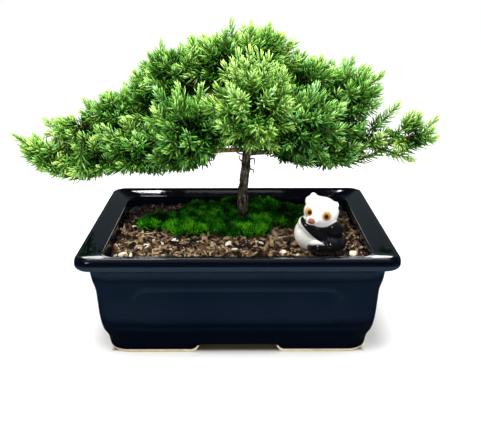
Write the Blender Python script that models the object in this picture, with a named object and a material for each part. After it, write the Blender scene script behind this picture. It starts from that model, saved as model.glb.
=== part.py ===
"""Juniper bonsai in a glazed rectangular pot, with moss and a small ceramic panda.

Sizes below are in millimetres and every mesh is written in metres, +Z up.
The pot is modelled round its own middle, and the whole model then moves so that
the middle of its bounding box stands over the origin, on the ground.
"""

import math

import bmesh
import bpy
import numpy as np
from mathutils import Matrix, Vector
from mathutils.bvhtree import BVHTree

MM = 0.001
CLEARANCE = 0.3  # kept between every two pieces that touch
SEED = 11

# Middle of the whole model's box, measured from the middle of the pot
BOX_MIDDLE_X = -9.2
BOX_MIDDLE_Y = 5.3

# The pot
POT_LENGTH = 205.0
POT_DEPTH = 158.0
POT_HEIGHT = 77.6
RIM_BAND = 15.2  # width of the flat rim
RIM_FALL = 3.5  # how far the rim slopes down to its inner edge
RIM_THICK = 8.3
RIM_CORNER = 9.0
BODY_CORNER = 16.0
INNER_CORNER = 10.0
WALL = 6.0
FLOOR = 6.0
NECK_INSET = 9.0  # body under the rim, from the rim's outer edge
WAIST_INSET = 13.6  # straight part of the body
BASE_INSET = 24.0  # foot ring at the ground
END_SHARE = 0.62  # the two ends lean in by this share of the front's insets
FOOT_HEIGHT = 8.0
FOOT_WIDTH = 9.0
FOOT_ARCH_DROP = 1.0  # top of the arch between two feet, below the floor's underside
FOOT_GAP_FRONT = 54.0
FOOT_GAP_SIDE = 40.0
FOOT_END_ROUND = 5.5
DRAIN_HOLE = 12.0
DRAIN_SPACING = 84.0

# The mesh over each drain hole
SCREEN_BAR = 1.6
SCREEN_OPENING = 3.2
SCREEN_OPENINGS = 4
SCREEN_THICK = 1.0

# The soil
SOIL_BELOW_RIM = 8.0  # soil's edge below the rim's inner edge
SOIL_CROWN = 5.0  # how much the middle is heaped

# The wood
TRUNK_X = 4.0
TRUNK_Y = 22.0
TRUNK_DIAMETER = 8.6
TRUNK_TOP_DIAMETER = 4.6
ROOT_SPREAD = 21.0
ROOT_DEPTH = 15.0
TAP_ROOT_DEPTH = 26.0
ROOT_RADII = (3.0, 1.0)  # at the trunk and at the tip
TAP_ROOT_RADII = (3.4, 3.0, 1.6)
BOUGH_DIAMETER = 3.4
BOUGH_TIP_DIAMETER = 1.9

# The crown of the tree
TREE_SPREAD = 309.0
TREE_HEIGHT = 147.0  # above the soil

# Moss, pebbles, chips and the figurine
MOSS_HEIGHT = 8.0
MOSS_EDGE = 0.8
PUMICE = 6.5
CHIP_LENGTH = 9.0
FIGURINE_HEIGHT = 42.0
FIGURINE_FROM_SIDE = 15.0  # free soil between the figurine and the pot's right side
FIGURINE_FROM_FRONT = 8.0
FIGURINE_STONE_GAP = 2.5  # between the figurine and the pebble on each side of it

# Each spray of foliage: name, middle (hundredths of the spread, the spread and the
# height, from the foot of the trunk), half sizes along, across and up (hundredths of
# the spread), and the heading and rise of its long axis in degrees.
SPRAYS = [
    ("left_low_tip", (-47, 0, 33), (8.7, 4.2, 4.6), 180, 28),
    ("left_low_outer", (-36, 0, 33), (7.8, 5.8, 5.6), 180, 0),
    ("left_low_mid", (-26, -2, 37), (7.1, 8.4, 5.8), 180, 0),
    ("left_low_inner", (-16, -3, 39), (7.1, 8.4, 5.8), 180, -5),
    ("left_mid_outer", (-40, 2, 46), (8.1, 4.9, 4.0), 180, 28),
    ("left_mid_mid", (-31, 3, 54), (6.5, 6.5, 5.6), 180, 20),
    ("left_mid_inner", (-21, 3, 60), (7.8, 8.4, 7.1), 180, 15),
    ("left_high", (-17, 1, 74), (6.5, 7.1, 6.5), 180, 40),
    ("top_left", (-6, 1, 82), (7.1, 7.8, 7.8), 90, 0),
    ("top_right", (5, 1, 82), (7.1, 7.1, 7.8), 90, 0),
    ("right_high", (15, 1, 71), (6.5, 8.4, 5.8), 0, 30),
    ("right_mid_outer", (25, 1, 65), (6.5, 7.1, 6.2), 0, 25),
    ("right_mid_inner", (20, -1, 49), (7.1, 7.8, 5.2), 0, 10),
    ("right_low_inner", (12, -3, 39), (6.5, 7.1, 4.8), 0, 0),
    ("right_low_mid", (23, -1, 35), (6.5, 7.1, 3.9), 0, 0),
    ("right_low_outer", (32, -1, 42), (6.5, 5.5, 4.6), 0, 10),
    ("right_low_tip", (40, -1, 45), (6.5, 4.2, 4.6), 0, 12),
    ("front_crown", (2, -18, 65), (8.0, 7.8, 7.8), 270, 10),
    ("front_left", (-12, -15, 54), (8.0, 7.4, 6.4), 225, 5),
    ("front_right", (13, -14, 56), (7.4, 6.8, 5.8), 315, 5),
    ("heart", (0, -4, 54), (8.4, 6.5, 6.0), 270, 0),
    ("back_left", (-16, 13, 56), (9.4, 8.2, 7.1), 135, 10),
    ("back_right", (15, 13, 56), (9.4, 8.2, 6.5), 45, 10),
    ("back_middle", (0, 14, 65), (8.0, 8.6, 8.4), 90, 10),
]

# Each bough: where it leaves the trunk (hundredths of the tree's height) and the
# sprays that it carries, from the inside out.
BOUGHS = [
    (36, ("left_low_inner", "left_low_mid", "left_low_outer", "left_low_tip")),
    (45, ("left_mid_inner", "left_mid_mid", "left_mid_outer")),
    (58, ("left_high",)),
    (34, ("right_low_inner", "right_low_mid", "right_low_outer", "right_low_tip")),
    (41, ("right_mid_inner", "right_mid_outer")),
    (56, ("right_high",)),
    (48, ("front_crown",)),
    (42, ("front_left",)),
    (44, ("front_right",)),
    (46, ("back_left",)),
    (50, ("back_right",)),
    (54, ("back_middle",)),
    (62, ("top_left",)),
]

# The trunk's middle line: millimetres sideways and backwards from the foot, at
# hundredths of the tree's height.
TRUNK_LINE = [
    (0, 0, -6),
    (0, 0, 4),
    (-1.5, 0, 14),
    (1.2, 0, 26),
    (3.0, -1, 37),
    (3.5, -3, 52),
    (4, -1, 66),
    (9, 1, 82),
]

# Each moss cushion: name, middle and half sizes as shares of the soil's half length
# and half depth.
MOSS = [
    ("moss_left", (-0.66, 0.17), (0.18, 0.25)),
    ("moss_back_left", (-0.27, 0.38), (0.31, 0.40)),
    ("moss_front_left", (-0.36, -0.12), (0.21, 0.19)),
    ("moss_front", (0.02, -0.13), (0.25, 0.26)),
    ("moss_right", (0.35, 0.36), (0.30, 0.38)),
    ("moss_back", (0.06, 0.70), (0.22, 0.20)),
]

# Shares of the soil's half length and half depth. Two more pumice pebbles lie beside
# the figurine.
PUMICE_AT = [
    (-0.72, -0.52),
    (-0.50, -0.42),
    (-0.07, -0.54),
    (-0.88, -0.72),
    (-0.88, 0.10),
    (0.80, 0.30),
]
CHIPS_AT = [(-0.72, -0.26), (-0.30, -0.68), (0.06, -0.72), (0.86, -0.12), (0.72, 0.72), (-0.66, 0.66)]


# ---------------------------------------------------------------- small tools


def clear_scene():
    for old in list(bpy.data.objects):
        bpy.data.objects.remove(old, do_unlink=True)


def material(name, colour, roughness, metallic=0.0):
    """A Principled BSDF with one colour."""
    made = bpy.data.materials.get(name) or bpy.data.materials.new(name)
    made.use_nodes = True
    shader = made.node_tree.nodes["Principled BSDF"]
    shader.inputs["Base Color"].default_value = (*colour, 1.0)
    shader.inputs["Roughness"].default_value = roughness
    shader.inputs["Metallic"].default_value = metallic
    return made


def add_object(name, mesh, finish=None):
    made = bpy.data.objects.new(name, mesh)
    bpy.context.scene.collection.objects.link(made)
    if finish is not None:
        mesh.materials.clear()
        mesh.materials.append(finish)
    return made


def object_from_bmesh(name, bm, finish=None):
    """Write a bmesh that holds millimetres as an object in metres."""
    bmesh.ops.recalc_face_normals(bm, faces=bm.faces)
    bmesh.ops.scale(bm, vec=(MM, MM, MM), verts=bm.verts)
    mesh = bpy.data.meshes.new(name)
    bm.to_mesh(mesh)
    bm.free()
    return add_object(name, mesh, finish)


def loft(loops):
    """Join loops of equal length into one closed body, capped at both ends."""
    bm = bmesh.new()
    rows = [[bm.verts.new(p) for p in loop] for loop in loops]
    count = len(rows[0])
    for low, high in zip(rows, rows[1:]):
        for i in range(count):
            j = (i + 1) % count
            bm.faces.new((low[i], low[j], high[j], high[i]))
    bm.faces.new(list(reversed(rows[0])))
    bm.faces.new(rows[-1])
    return bm


def rounded_rectangle(half_x, half_y, radius, z, corner_steps=5, side_steps=(1, 1)):
    """Points round a rectangle with round corners, anticlockwise seen from above."""
    radius = min(radius, half_x * 0.98, half_y * 0.98)
    corners = [(1, 1, 0), (-1, 1, 90), (-1, -1, 180), (1, -1, 270)]
    points = []
    for index, (sx, sy, start) in enumerate(corners):
        middle = (sx * (half_x - radius), sy * (half_y - radius))
        for step in range(corner_steps + 1):
            angle = math.radians(start + 90.0 * step / corner_steps)
            points.append((middle[0] + radius * math.cos(angle), middle[1] + radius * math.sin(angle), z))
        steps = side_steps[index % 2]
        following = corners[(index + 1) % 4]
        next_middle = (following[0] * (half_x - radius), following[1] * (half_y - radius))
        turn = math.radians(following[2])
        end = (next_middle[0] + radius * math.cos(turn), next_middle[1] + radius * math.sin(turn), z)
        begin = points[-1]
        for step in range(1, steps):
            share = step / steps
            points.append(tuple(a + (b - a) * share for a, b in zip(begin, end)))
    return points


def smooth_line(points, steps):
    """A Catmull-Rom curve through the points, with `steps` pieces between two of them."""
    points = [np.array(p, float) for p in points]
    padded = [2 * points[0] - points[1]] + points + [2 * points[-1] - points[-2]]
    line = []
    for a, b, c, d in zip(padded, padded[1:], padded[2:], padded[3:]):
        for step in range(steps):
            t = step / steps
            bend = (2 * a - 5 * b + 4 * c - d) * t**2 + (3 * b - a - 3 * c + d) * t**3
            line.append(0.5 * (2 * b + (c - a) * t + bend))
    line.append(points[-1])
    return line


def tube(line, radii, sides):
    """A closed tube along a line, its cross-section carried without twisting."""
    line = [np.array(p, float) for p in line]
    across = None
    loops = []
    for i, point in enumerate(line):
        along = line[min(i + 1, len(line) - 1)] - line[max(i - 1, 0)]
        along /= np.linalg.norm(along)
        if across is None:
            guide = np.array((0.0, 1.0, 0.0)) if abs(along[1]) < 0.9 else np.array((1.0, 0.0, 0.0))
            across = np.cross(guide, along)
        across = across - along * (across @ along)
        across /= np.linalg.norm(across)
        other = np.cross(along, across)
        turns = [2 * math.pi * k / sides for k in range(sides)]
        loops.append([point + radii[i] * (math.cos(a) * across + math.sin(a) * other) for a in turns])
    return loft(loops)


def apply_modifiers(target):
    """Replace an object's mesh with what its modifiers make of it."""
    depsgraph = bpy.context.evaluated_depsgraph_get()
    mesh = bpy.data.meshes.new_from_object(target.evaluated_get(depsgraph))
    target.modifiers.clear()
    target.data = mesh


def boolean(target, tool, operation, keep_tool=False):
    step = target.modifiers.new(operation.title(), "BOOLEAN")
    step.operation = operation
    step.solver = "EXACT"
    step.object = tool
    apply_modifiers(target)
    if not keep_tool:
        bpy.data.objects.remove(tool, do_unlink=True)


def surfaces_cross(first, second):
    trees = []
    for item in (first, second):
        bm = bmesh.new()
        bm.from_mesh(item.data)
        trees.append(BVHTree.FromBMesh(bm))
        bm.free()
    return bool(trees[0].overlap(trees[1]))


def cut_by_plane(target, point, normal):
    """Remove what lies on the normal's side of a plane, and close the cut."""
    bm = bmesh.new()
    bm.from_mesh(target.data)
    parts = list(bm.verts) + list(bm.edges) + list(bm.faces)
    bmesh.ops.bisect_plane(bm, geom=parts, dist=1e-6, plane_co=point, plane_no=normal, clear_outer=True)
    rim = [e for e in bm.edges if e.is_boundary]
    if rim:
        bmesh.ops.holes_fill(bm, edges=rim, sides=0)
    bmesh.ops.recalc_face_normals(bm, faces=bm.faces)
    bm.to_mesh(target.data)
    bm.free()


def shade(target, degrees=50):
    target.data.shade_smooth()
    target.data.set_sharp_from_angle(angle=math.radians(degrees))


# ------------------------------------------------------------------- the pot


def outer_profile():
    """The pot's outside from the ground up: inset from the rim, height, corner radius."""
    lip = POT_HEIGHT - RIM_THICK
    start = FOOT_HEIGHT + 2.5
    reach = lip - start
    foot_corner = BODY_CORNER - 2
    return [
        (BASE_INSET, 0.0, foot_corner),
        (BASE_INSET - 1.2, 0.3 * FOOT_HEIGHT, foot_corner),
        (BASE_INSET - 2.4, FOOT_HEIGHT, foot_corner),
        (BASE_INSET - 3.8, start, BODY_CORNER),
        (WAIST_INSET + 5.0, start + 0.05 * reach, BODY_CORNER),
        (WAIST_INSET + 2.6, start + 0.13 * reach, BODY_CORNER),
        (WAIST_INSET + 0.9, start + 0.27 * reach, BODY_CORNER),
        (WAIST_INSET, start + 0.45 * reach, BODY_CORNER),
        (WAIST_INSET - 0.9, start + 0.62 * reach, BODY_CORNER),
        (0.5 * (WAIST_INSET + NECK_INSET) - 1.0, start + 0.76 * reach, BODY_CORNER),
        (NECK_INSET, start + 0.90 * reach, BODY_CORNER - 1),
        (0.5 * NECK_INSET, lip - 0.8, RIM_CORNER + 2),
        (1.6, lip, RIM_CORNER + 1),
        (0.3, lip + 0.22 * RIM_THICK, RIM_CORNER),
        (0.0, lip + 0.50 * RIM_THICK, RIM_CORNER),
        (0.6, lip + 0.80 * RIM_THICK, RIM_CORNER),
        (2.6, POT_HEIGHT, RIM_CORNER - 1),
    ]


def inner_edge_height():
    return POT_HEIGHT - RIM_FALL


def floor_top():
    return FOOT_HEIGHT + FLOOR


def inner_profile(gap=0.0):
    """The pot's inside from the rim's inner edge down, each a `gap` further in."""
    top = inner_edge_height()
    low = floor_top()
    reach = top - low
    wall_top = max(RIM_BAND, NECK_INSET + WALL)
    rows = [
        (wall_top + 0.4, top - 2.0),
        (max(wall_top + 0.8, 0.5 * (WAIST_INSET + NECK_INSET) - 1 + WALL), low + 0.66 * reach),
        (WAIST_INSET + WALL, low + 0.38 * reach),
        (WAIST_INSET + WALL + 1.4, low + 0.16 * reach),
        (WAIST_INSET + WALL + 4.5, low + 0.03 * reach),
        (WAIST_INSET + WALL + 9.0, low),
    ]
    return [(inset + gap, z, INNER_CORNER) for inset, z in rows]


def inner_half(z, gap=0.0):
    """Half length and half depth of the pot's inside at a height."""
    rows = inner_profile(gap)
    heights = [row[1] for row in rows][::-1]
    insets = [row[0] for row in rows][::-1]
    inset = float(np.interp(z, heights, insets))
    return 0.5 * POT_LENGTH - inset, 0.5 * POT_DEPTH - inset


def pot_loop(inset, z, radius, **steps):
    return rounded_rectangle(0.5 * POT_LENGTH - inset, 0.5 * POT_DEPTH - inset, radius, z, **steps)


def outside_loop(inset, z, radius):
    """A loop of the pot's outside, whose two ends lean in less than its front and back."""
    return rounded_rectangle(0.5 * POT_LENGTH - END_SHARE * inset, 0.5 * POT_DEPTH - inset, radius, z)


def foot_gap_outline(gap):
    """Half of the arch between two feet, from the ground up, in width and height."""
    steps = 4
    top = FOOT_HEIGHT - FOOT_ARCH_DROP
    arc = []
    for step in range(steps + 1):
        angle = math.radians(90.0 * step / steps)
        wide = 0.5 * gap + FOOT_END_ROUND * (1 - math.sin(angle))
        arc.append((wide, 0.8 * top * (1 - math.cos(angle))))
    return [(arc[0][0], -2.0)] + arc + [(0.5 * gap, top)]


def foot_gap(gap, reach, along_x):
    """A prism that cuts the arch between two feet right through the pot's foot ring."""
    half = foot_gap_outline(gap)
    outline = half + [(-wide, z) for wide, z in reversed(half)]
    if along_x:
        loops = [[(x, w, z) for w, z in outline] for x in (-reach, reach)]
    else:
        loops = [[(w, y, z) for w, z in outline] for y in (-reach, reach)]
    return object_from_bmesh("foot_gap", loft(loops))


def cylinder(name, radius, low, high, x, y, sides=16):
    turns = [2 * math.pi * k / sides for k in range(sides)]
    round_loop = [(x + radius * math.cos(a), y + radius * math.sin(a)) for a in turns]
    loops = [[(px, py, z) for px, py in round_loop] for z in (low, high)]
    return object_from_bmesh(name, loft(loops))


def build_pot():
    glaze = material("navy_glaze", (0.012, 0.018, 0.035), 0.12)
    loops = [outside_loop(*row) for row in outer_profile()]
    top = inner_edge_height()
    loops.append(pot_loop(max(RIM_BAND, NECK_INSET + WALL) - 1.2, top + 0.25, INNER_CORNER))
    loops += [pot_loop(*row) for row in inner_profile()]
    pot = object_from_bmesh("pot", loft(loops), glaze)
    recess_x = 0.5 * POT_LENGTH - END_SHARE * BASE_INSET - FOOT_WIDTH
    recess_y = 0.5 * POT_DEPTH - BASE_INSET - FOOT_WIDTH
    under = [rounded_rectangle(recess_x, recess_y, BODY_CORNER - 6, z) for z in (-2.0, FOOT_HEIGHT)]
    boolean(pot, object_from_bmesh("under_floor", loft(under)), "DIFFERENCE")
    boolean(pot, foot_gap(FOOT_GAP_FRONT, POT_DEPTH, False), "DIFFERENCE")
    boolean(pot, foot_gap(FOOT_GAP_SIDE, POT_LENGTH, True), "DIFFERENCE")
    for side in (-1, 1):
        middle = side * 0.5 * DRAIN_SPACING
        hole = cylinder("drain", 0.5 * DRAIN_HOLE, FOOT_HEIGHT - 3, floor_top() + 3, middle, 0)
        boolean(pot, hole, "DIFFERENCE")
    shade(pot, 40)
    return pot


def screen_size():
    return SCREEN_OPENINGS * (SCREEN_BAR + SCREEN_OPENING) + SCREEN_BAR


def build_screen(name, x):
    """A square lattice of bars: a flat sheet with its openings left out, made thick."""
    plastic = material("black_screen", (0.02, 0.02, 0.02), 0.6)
    edges = [0.0]
    for _ in range(SCREEN_OPENINGS):
        edges += [edges[-1] + SCREEN_BAR, edges[-1] + SCREEN_BAR + SCREEN_OPENING]
    edges.append(edges[-1] + SCREEN_BAR)
    shift = 0.5 * screen_size()
    bottom = floor_top() + CLEARANCE
    bm = bmesh.new()
    grid = {}
    for i, a in enumerate(edges):
        for j, b in enumerate(edges):
            grid[i, j] = bm.verts.new((x + a - shift, b - shift, bottom))
    for i in range(len(edges) - 1):
        for j in range(len(edges) - 1):
            if i % 2 == 0 or j % 2 == 0:
                bm.faces.new((grid[i, j], grid[i + 1, j], grid[i + 1, j + 1], grid[i, j + 1]))
    raised = bmesh.ops.extrude_face_region(bm, geom=list(bm.faces))["geom"]
    top = [item for item in raised if isinstance(item, bmesh.types.BMVert)]
    bmesh.ops.translate(bm, vec=(0, 0, SCREEN_THICK), verts=top)
    return object_from_bmesh(name, bm, plastic)


# ------------------------------------------------------------------ the soil


def soil_edge_height():
    return inner_edge_height() - SOIL_BELOW_RIM


def soil_half():
    return inner_half(soil_edge_height(), CLEARANCE)


def soil_top(x, y):
    """Height of the soil: heaped in the middle, falling to its edge."""
    half_x, half_y = soil_half()
    u = min(1.0, abs(x) / half_x)
    v = min(1.0, abs(y) / half_y)
    return soil_edge_height() + SOIL_CROWN * (1 - u**2) * (1 - v**2)


def soil_spot(share):
    """A place on the soil from its shares of the half length and half depth."""
    half_x, half_y = soil_half()
    return share[0] * half_x, share[1] * half_y


def build_soil(wood_room):
    earth = material("potting_mix", (0.16, 0.09, 0.05), 0.95)
    steps = {"corner_steps": 2, "side_steps": (7, 6)}
    edge = soil_edge_height()
    rows = [row for row in inner_profile(CLEARANCE) if row[1] < edge - 1][::-1]
    loops = [pot_loop(inset, max(z, floor_top() + CLEARANCE), r, **steps) for inset, z, r in rows]
    half_x, half_y = soil_half()
    corner = INNER_CORNER
    for share in (1.0, 0.86, 0.70, 0.52, 0.34, 0.16):
        loop = rounded_rectangle(share * half_x, share * half_y, share * corner, 0, **steps)
        loops.append([(x, y, soil_top(x, y)) for x, y, _ in loop])
    soil = object_from_bmesh("soil", loft(loops), earth)
    room = 0.5 * screen_size() + CLEARANCE
    low = floor_top() - 2
    high = floor_top() + SCREEN_THICK + 2 * CLEARANCE
    for side in (-1, 1):
        middle = side * 0.5 * DRAIN_SPACING
        square = [(middle + sx * room, sy * room) for sx, sy in ((1, 1), (-1, 1), (-1, -1), (1, -1))]
        loops = [[(px, py, z) for px, py in square] for z in (low, high)]
        boolean(soil, object_from_bmesh("screen_room", loft(loops)), "DIFFERENCE")
    boolean(soil, wood_room, "DIFFERENCE", keep_tool=True)
    shade(soil, 60)
    return soil


# ------------------------------------------------------------------ the wood


def tree_foot():
    return np.array((TRUNK_X, TRUNK_Y, soil_top(TRUNK_X, TRUNK_Y)))


def in_crown(place):
    """From hundredths of the spread and height to millimetres."""
    return tree_foot() + np.array(place) * (TREE_SPREAD, TREE_SPREAD, TREE_HEIGHT) / 100


def trunk_line():
    foot = tree_foot()
    points = [foot + np.array((x, y, rise * TREE_HEIGHT / 100)) for x, y, rise in TRUNK_LINE]
    return smooth_line(points, 3)


def trunk_radius(z):
    foot = tree_foot()[2]
    top = foot + TRUNK_LINE[-1][2] * TREE_HEIGHT / 100
    share = min(1.0, max(0.0, (z - foot) / (top - foot)))
    flare = 0.9 * math.exp(-max(0.0, z - foot) / 5.0)
    return 0.5 * (TRUNK_DIAMETER + (TRUNK_TOP_DIAMETER - TRUNK_DIAMETER) * share) + flare


def trunk_place(rise):
    line = trunk_line()
    z = tree_foot()[2] + rise * TREE_HEIGHT / 100
    heights = [p[2] for p in line]
    return np.array([np.interp(z, heights, [p[k] for p in line]) for k in range(2)] + [z])


def bough_line(rise, names):
    """From the trunk through the lower part of each spray that the bough carries."""
    sprays = {name: (middle, half) for name, middle, half, _, _ in SPRAYS}
    points = [trunk_place(rise)]
    for name in names:
        middle, half = sprays[name]
        points.append(in_crown(middle) - np.array((0, 0, 0.25 * half[2] * TREE_SPREAD / 100)))
    return smooth_line(points, 2)


def root_lines():
    foot = tree_foot()
    lines = []
    for degrees in (20, 95, 160, 235, 310):
        angle = math.radians(degrees)
        out = np.array((math.cos(angle), math.sin(angle), 0))
        start = foot + np.array((0, 0, 2.0))
        middle = foot + 0.42 * ROOT_SPREAD * out - np.array((0, 0, 0.16 * ROOT_DEPTH))
        end = foot + ROOT_SPREAD * out - np.array((0, 0, ROOT_DEPTH))
        lines.append(smooth_line([start, middle, end], 2))
    return lines


def build_wood(name, room=0.0, finish=None):
    """Trunk, roots and boughs as one body; `room` makes every stem that much thicker."""

    def grown(radius, sides):
        return radius + room / math.cos(math.pi / sides)

    line = trunk_line()
    if room:
        line = line + [line[-1] + (line[-1] - line[-2]) / np.linalg.norm(line[-1] - line[-2]) * room]
    wood = object_from_bmesh(name, tube(line, [grown(trunk_radius(p[2]), 10) for p in line], 10), finish)
    stems = []
    for root in root_lines():
        stems.append((root, list(np.linspace(*ROOT_RADII, len(root))), 5))
    foot = tree_foot()
    tap = [foot + np.array((0, 0, z)) for z in (-2.0, -0.5 * TAP_ROOT_DEPTH, -TAP_ROOT_DEPTH)]
    stems.append((tap, list(TAP_ROOT_RADII), 8))
    for rise, names in BOUGHS:
        bough = bough_line(rise, names)
        thin = np.linspace(0.5 * BOUGH_DIAMETER, 0.5 * BOUGH_TIP_DIAMETER, len(bough))
        stems.append((bough, list(thin), 5))
    for stem, radii, sides in stems:
        if room:
            end = stem[-1] + (stem[-1] - stem[-2]) / np.linalg.norm(stem[-1] - stem[-2]) * room
            stem = list(stem) + [end]
            radii = list(radii) + [radii[-1]]
        tool = object_from_bmesh("stem", tube(stem, [grown(r, sides) for r in radii], sides))
        boolean(wood, tool, "UNION")
    shade(wood, 60)
    return wood


# --------------------------------------------------------------- the foliage


def spray_frame(heading, rise):
    turn = Matrix.Rotation(math.radians(heading), 3, "Z")
    return turn @ Matrix.Rotation(math.radians(-rise), 3, "Y")


def ellipsoid(name, middle, half, frame, finish=None, sides=12, rows=8):
    bm = bmesh.new()
    bmesh.ops.create_uvsphere(bm, u_segments=sides, v_segments=rows, radius=1.0)
    shape = Matrix.Translation(Vector(middle)) @ frame.to_4x4() @ Matrix.Diagonal((*half, 1.0))
    bmesh.ops.transform(bm, matrix=shape, verts=bm.verts)
    return object_from_bmesh(name, bm, finish)


def ray_radius(half, frame, direction):
    """How far an ellipsoid reaches from its middle in a direction."""
    local = frame.transposed() @ Vector(direction)
    return 1.0 / math.sqrt(sum((local[k] / half[k]) ** 2 for k in range(3)))


def reaches_into(first, second):
    """Whether a point of the first solid's surface lies within the second's ellipsoid."""
    turned = second["frame"].transposed()
    for vertex in first["object"].data.vertices:
        local = turned @ (vertex.co / MM - second["middle"])
        if sum((local[k] / (second["half"][k] + CLEARANCE)) ** 2 for k in range(3)) < 1.0:
            return True
    return False


def split_between(solids, flat=False):
    """Cut every two solids that meet by a plane between them, with a gap at the plane."""
    pairs = [(a, b) for i, a in enumerate(solids) for b in solids[i + 1 :]]
    meeting = [(a, b) for a, b in pairs if reaches_into(a, b) or reaches_into(b, a)]
    for first, second in meeting:
        between = second["middle"] - first["middle"]
        if flat:
            between.z = 0
        direction = between.normalized()
        from_first = ray_radius(first["half"], first["frame"], direction)
        from_second = ray_radius(second["half"], second["frame"], direction)
        place = first["middle"] + between * (from_first / (from_first + from_second))
        gap = direction * 0.5 * CLEARANCE
        cut_by_plane(first["object"], (place - gap) * MM, direction)
        cut_by_plane(second["object"], (place + gap) * MM, -direction)


def build_foliage(wood_room):
    solids = []
    for name, middle, half, heading, rise in SPRAYS:
        frame = spray_frame(heading, rise)
        size = [value * TREE_SPREAD / 100 for value in half]
        centre = Vector(in_crown(middle))
        green = material("needles", (0.10, 0.30, 0.06), 0.6)
        made = ellipsoid("foliage_" + name, centre, size, frame, green)
        solids.append({"object": made, "middle": centre, "half": size, "frame": frame})
    split_between(solids)
    for solid in solids:
        if surfaces_cross(solid["object"], wood_room):
            boolean(solid["object"], wood_room, "DIFFERENCE", keep_tool=True)
        shade(solid["object"], 60)


# ------------------------------------------------- moss, stones and figurine


def moss_cushion(name, share, size):
    """A low dome whose underside follows the soil."""
    moss = material("moss", (0.05, 0.20, 0.02), 0.95)
    half_x, half_y = soil_half()
    middle = soil_spot(share)
    reach = (size[0] * half_x, size[1] * half_y)
    sides = 16

    def ring(part, lift):
        loop = []
        for k in range(sides):
            angle = 2 * math.pi * k / sides
            x = middle[0] + part * reach[0] * math.cos(angle)
            y = middle[1] + part * reach[1] * math.sin(angle)
            loop.append((x, y, soil_top(x, y) + CLEARANCE + lift))
        return loop

    under = [ring(part, 0.0) for part in (0.3, 0.7, 1.0)]
    rise = MOSS_HEIGHT - MOSS_EDGE
    over = [ring(part, MOSS_EDGE + rise * (1 - part**2) ** 0.7) for part in (1.0, 0.88, 0.62, 0.3)]
    made = object_from_bmesh(name, loft(under + over), moss)
    centre = Vector((middle[0], middle[1], soil_top(*middle)))
    size = [reach[0], reach[1], 10 * MOSS_HEIGHT]
    return {"object": made, "middle": centre, "half": size, "frame": Matrix.Identity(3)}


def build_moss(wood_room):
    cushions = [moss_cushion(*row) for row in MOSS]
    split_between(cushions, flat=True)
    for cushion in cushions:
        if surfaces_cross(cushion["object"], wood_room):
            boolean(cushion["object"], wood_room, "DIFFERENCE", keep_tool=True)
        shade(cushion["object"], 60)


def rest_on_soil(target, x, y):
    """Cut a piece flat along the soil under it, a clearance above the soil."""
    step = 2.0
    slope_x = (soil_top(x + step, y) - soil_top(x - step, y)) / (2 * step)
    slope_y = (soil_top(x, y + step) - soil_top(x, y - step)) / (2 * step)
    normal = Vector((-slope_x, -slope_y, 1.0)).normalized()
    place = Vector((x, y, soil_top(x, y) + CLEARANCE))
    cut_by_plane(target, place * MM, -normal)


def angular_stone(name, spot, half, turn, finish, random):
    """The convex hull of points scattered on an ellipsoid, its lower part cut away."""
    x, y = spot
    z = soil_top(x, y) + 0.45 * half[2]
    bm = bmesh.new()
    rays = random.normal(size=(20, 3))
    rays /= np.linalg.norm(rays, axis=1)[:, None]
    frame = Matrix.Rotation(turn, 3, "Z")
    for ray in rays:
        local = Vector([ray[k] * half[k] for k in range(3)])
        bm.verts.new(Vector((x, y, z)) + frame @ local)
    hull = bmesh.ops.convex_hull(bm, input=list(bm.verts))
    loose = [item for item in hull["geom_interior"] if isinstance(item, bmesh.types.BMVert)]
    bmesh.ops.delete(bm, geom=loose, context="VERTS")
    made = object_from_bmesh(name, bm, finish)
    rest_on_soil(made, x, y)
    return made


def build_stones():
    random = np.random.default_rng(SEED)
    pumice = material("pumice", (0.75, 0.70, 0.60), 0.9)
    bark = material("bark", (0.22, 0.12, 0.06), 0.9)
    reach = figurine_half()[0] + FIGURINE_STONE_GAP + 0.5 * PUMICE
    x, y = figurine_spot()
    places = [soil_spot(share) for share in PUMICE_AT]
    places += [(x - reach, y - 0.35 * figurine_half()[1]), (x + reach, y - 0.35 * figurine_half()[1])]
    for number, spot in enumerate(places, 1):
        size = 0.5 * PUMICE * random.uniform(0.8, 1.15)
        half = (size, 0.8 * size, 0.7 * size)
        turn = random.uniform(0, math.pi)
        angular_stone(f"pumice_{number}", spot, half, turn, pumice, random)
    for number, share in enumerate(CHIPS_AT, 1):
        size = 0.5 * CHIP_LENGTH * random.uniform(0.85, 1.15)
        half = (size, 0.45 * size, 0.38 * size)
        turn = random.uniform(0, math.pi)
        angular_stone(f"bark_chip_{number}", soil_spot(share), half, turn, bark, random)


def figurine_half():
    """Half the figurine's width and depth, which follow its height."""
    return 0.42 * FIGURINE_HEIGHT, 0.37 * FIGURINE_HEIGHT


def figurine_spot():
    half_x, half_y = soil_half()
    wide, deep = figurine_half()
    return half_x - FIGURINE_FROM_SIDE - wide, -(half_y - FIGURINE_FROM_FRONT - deep)


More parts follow.
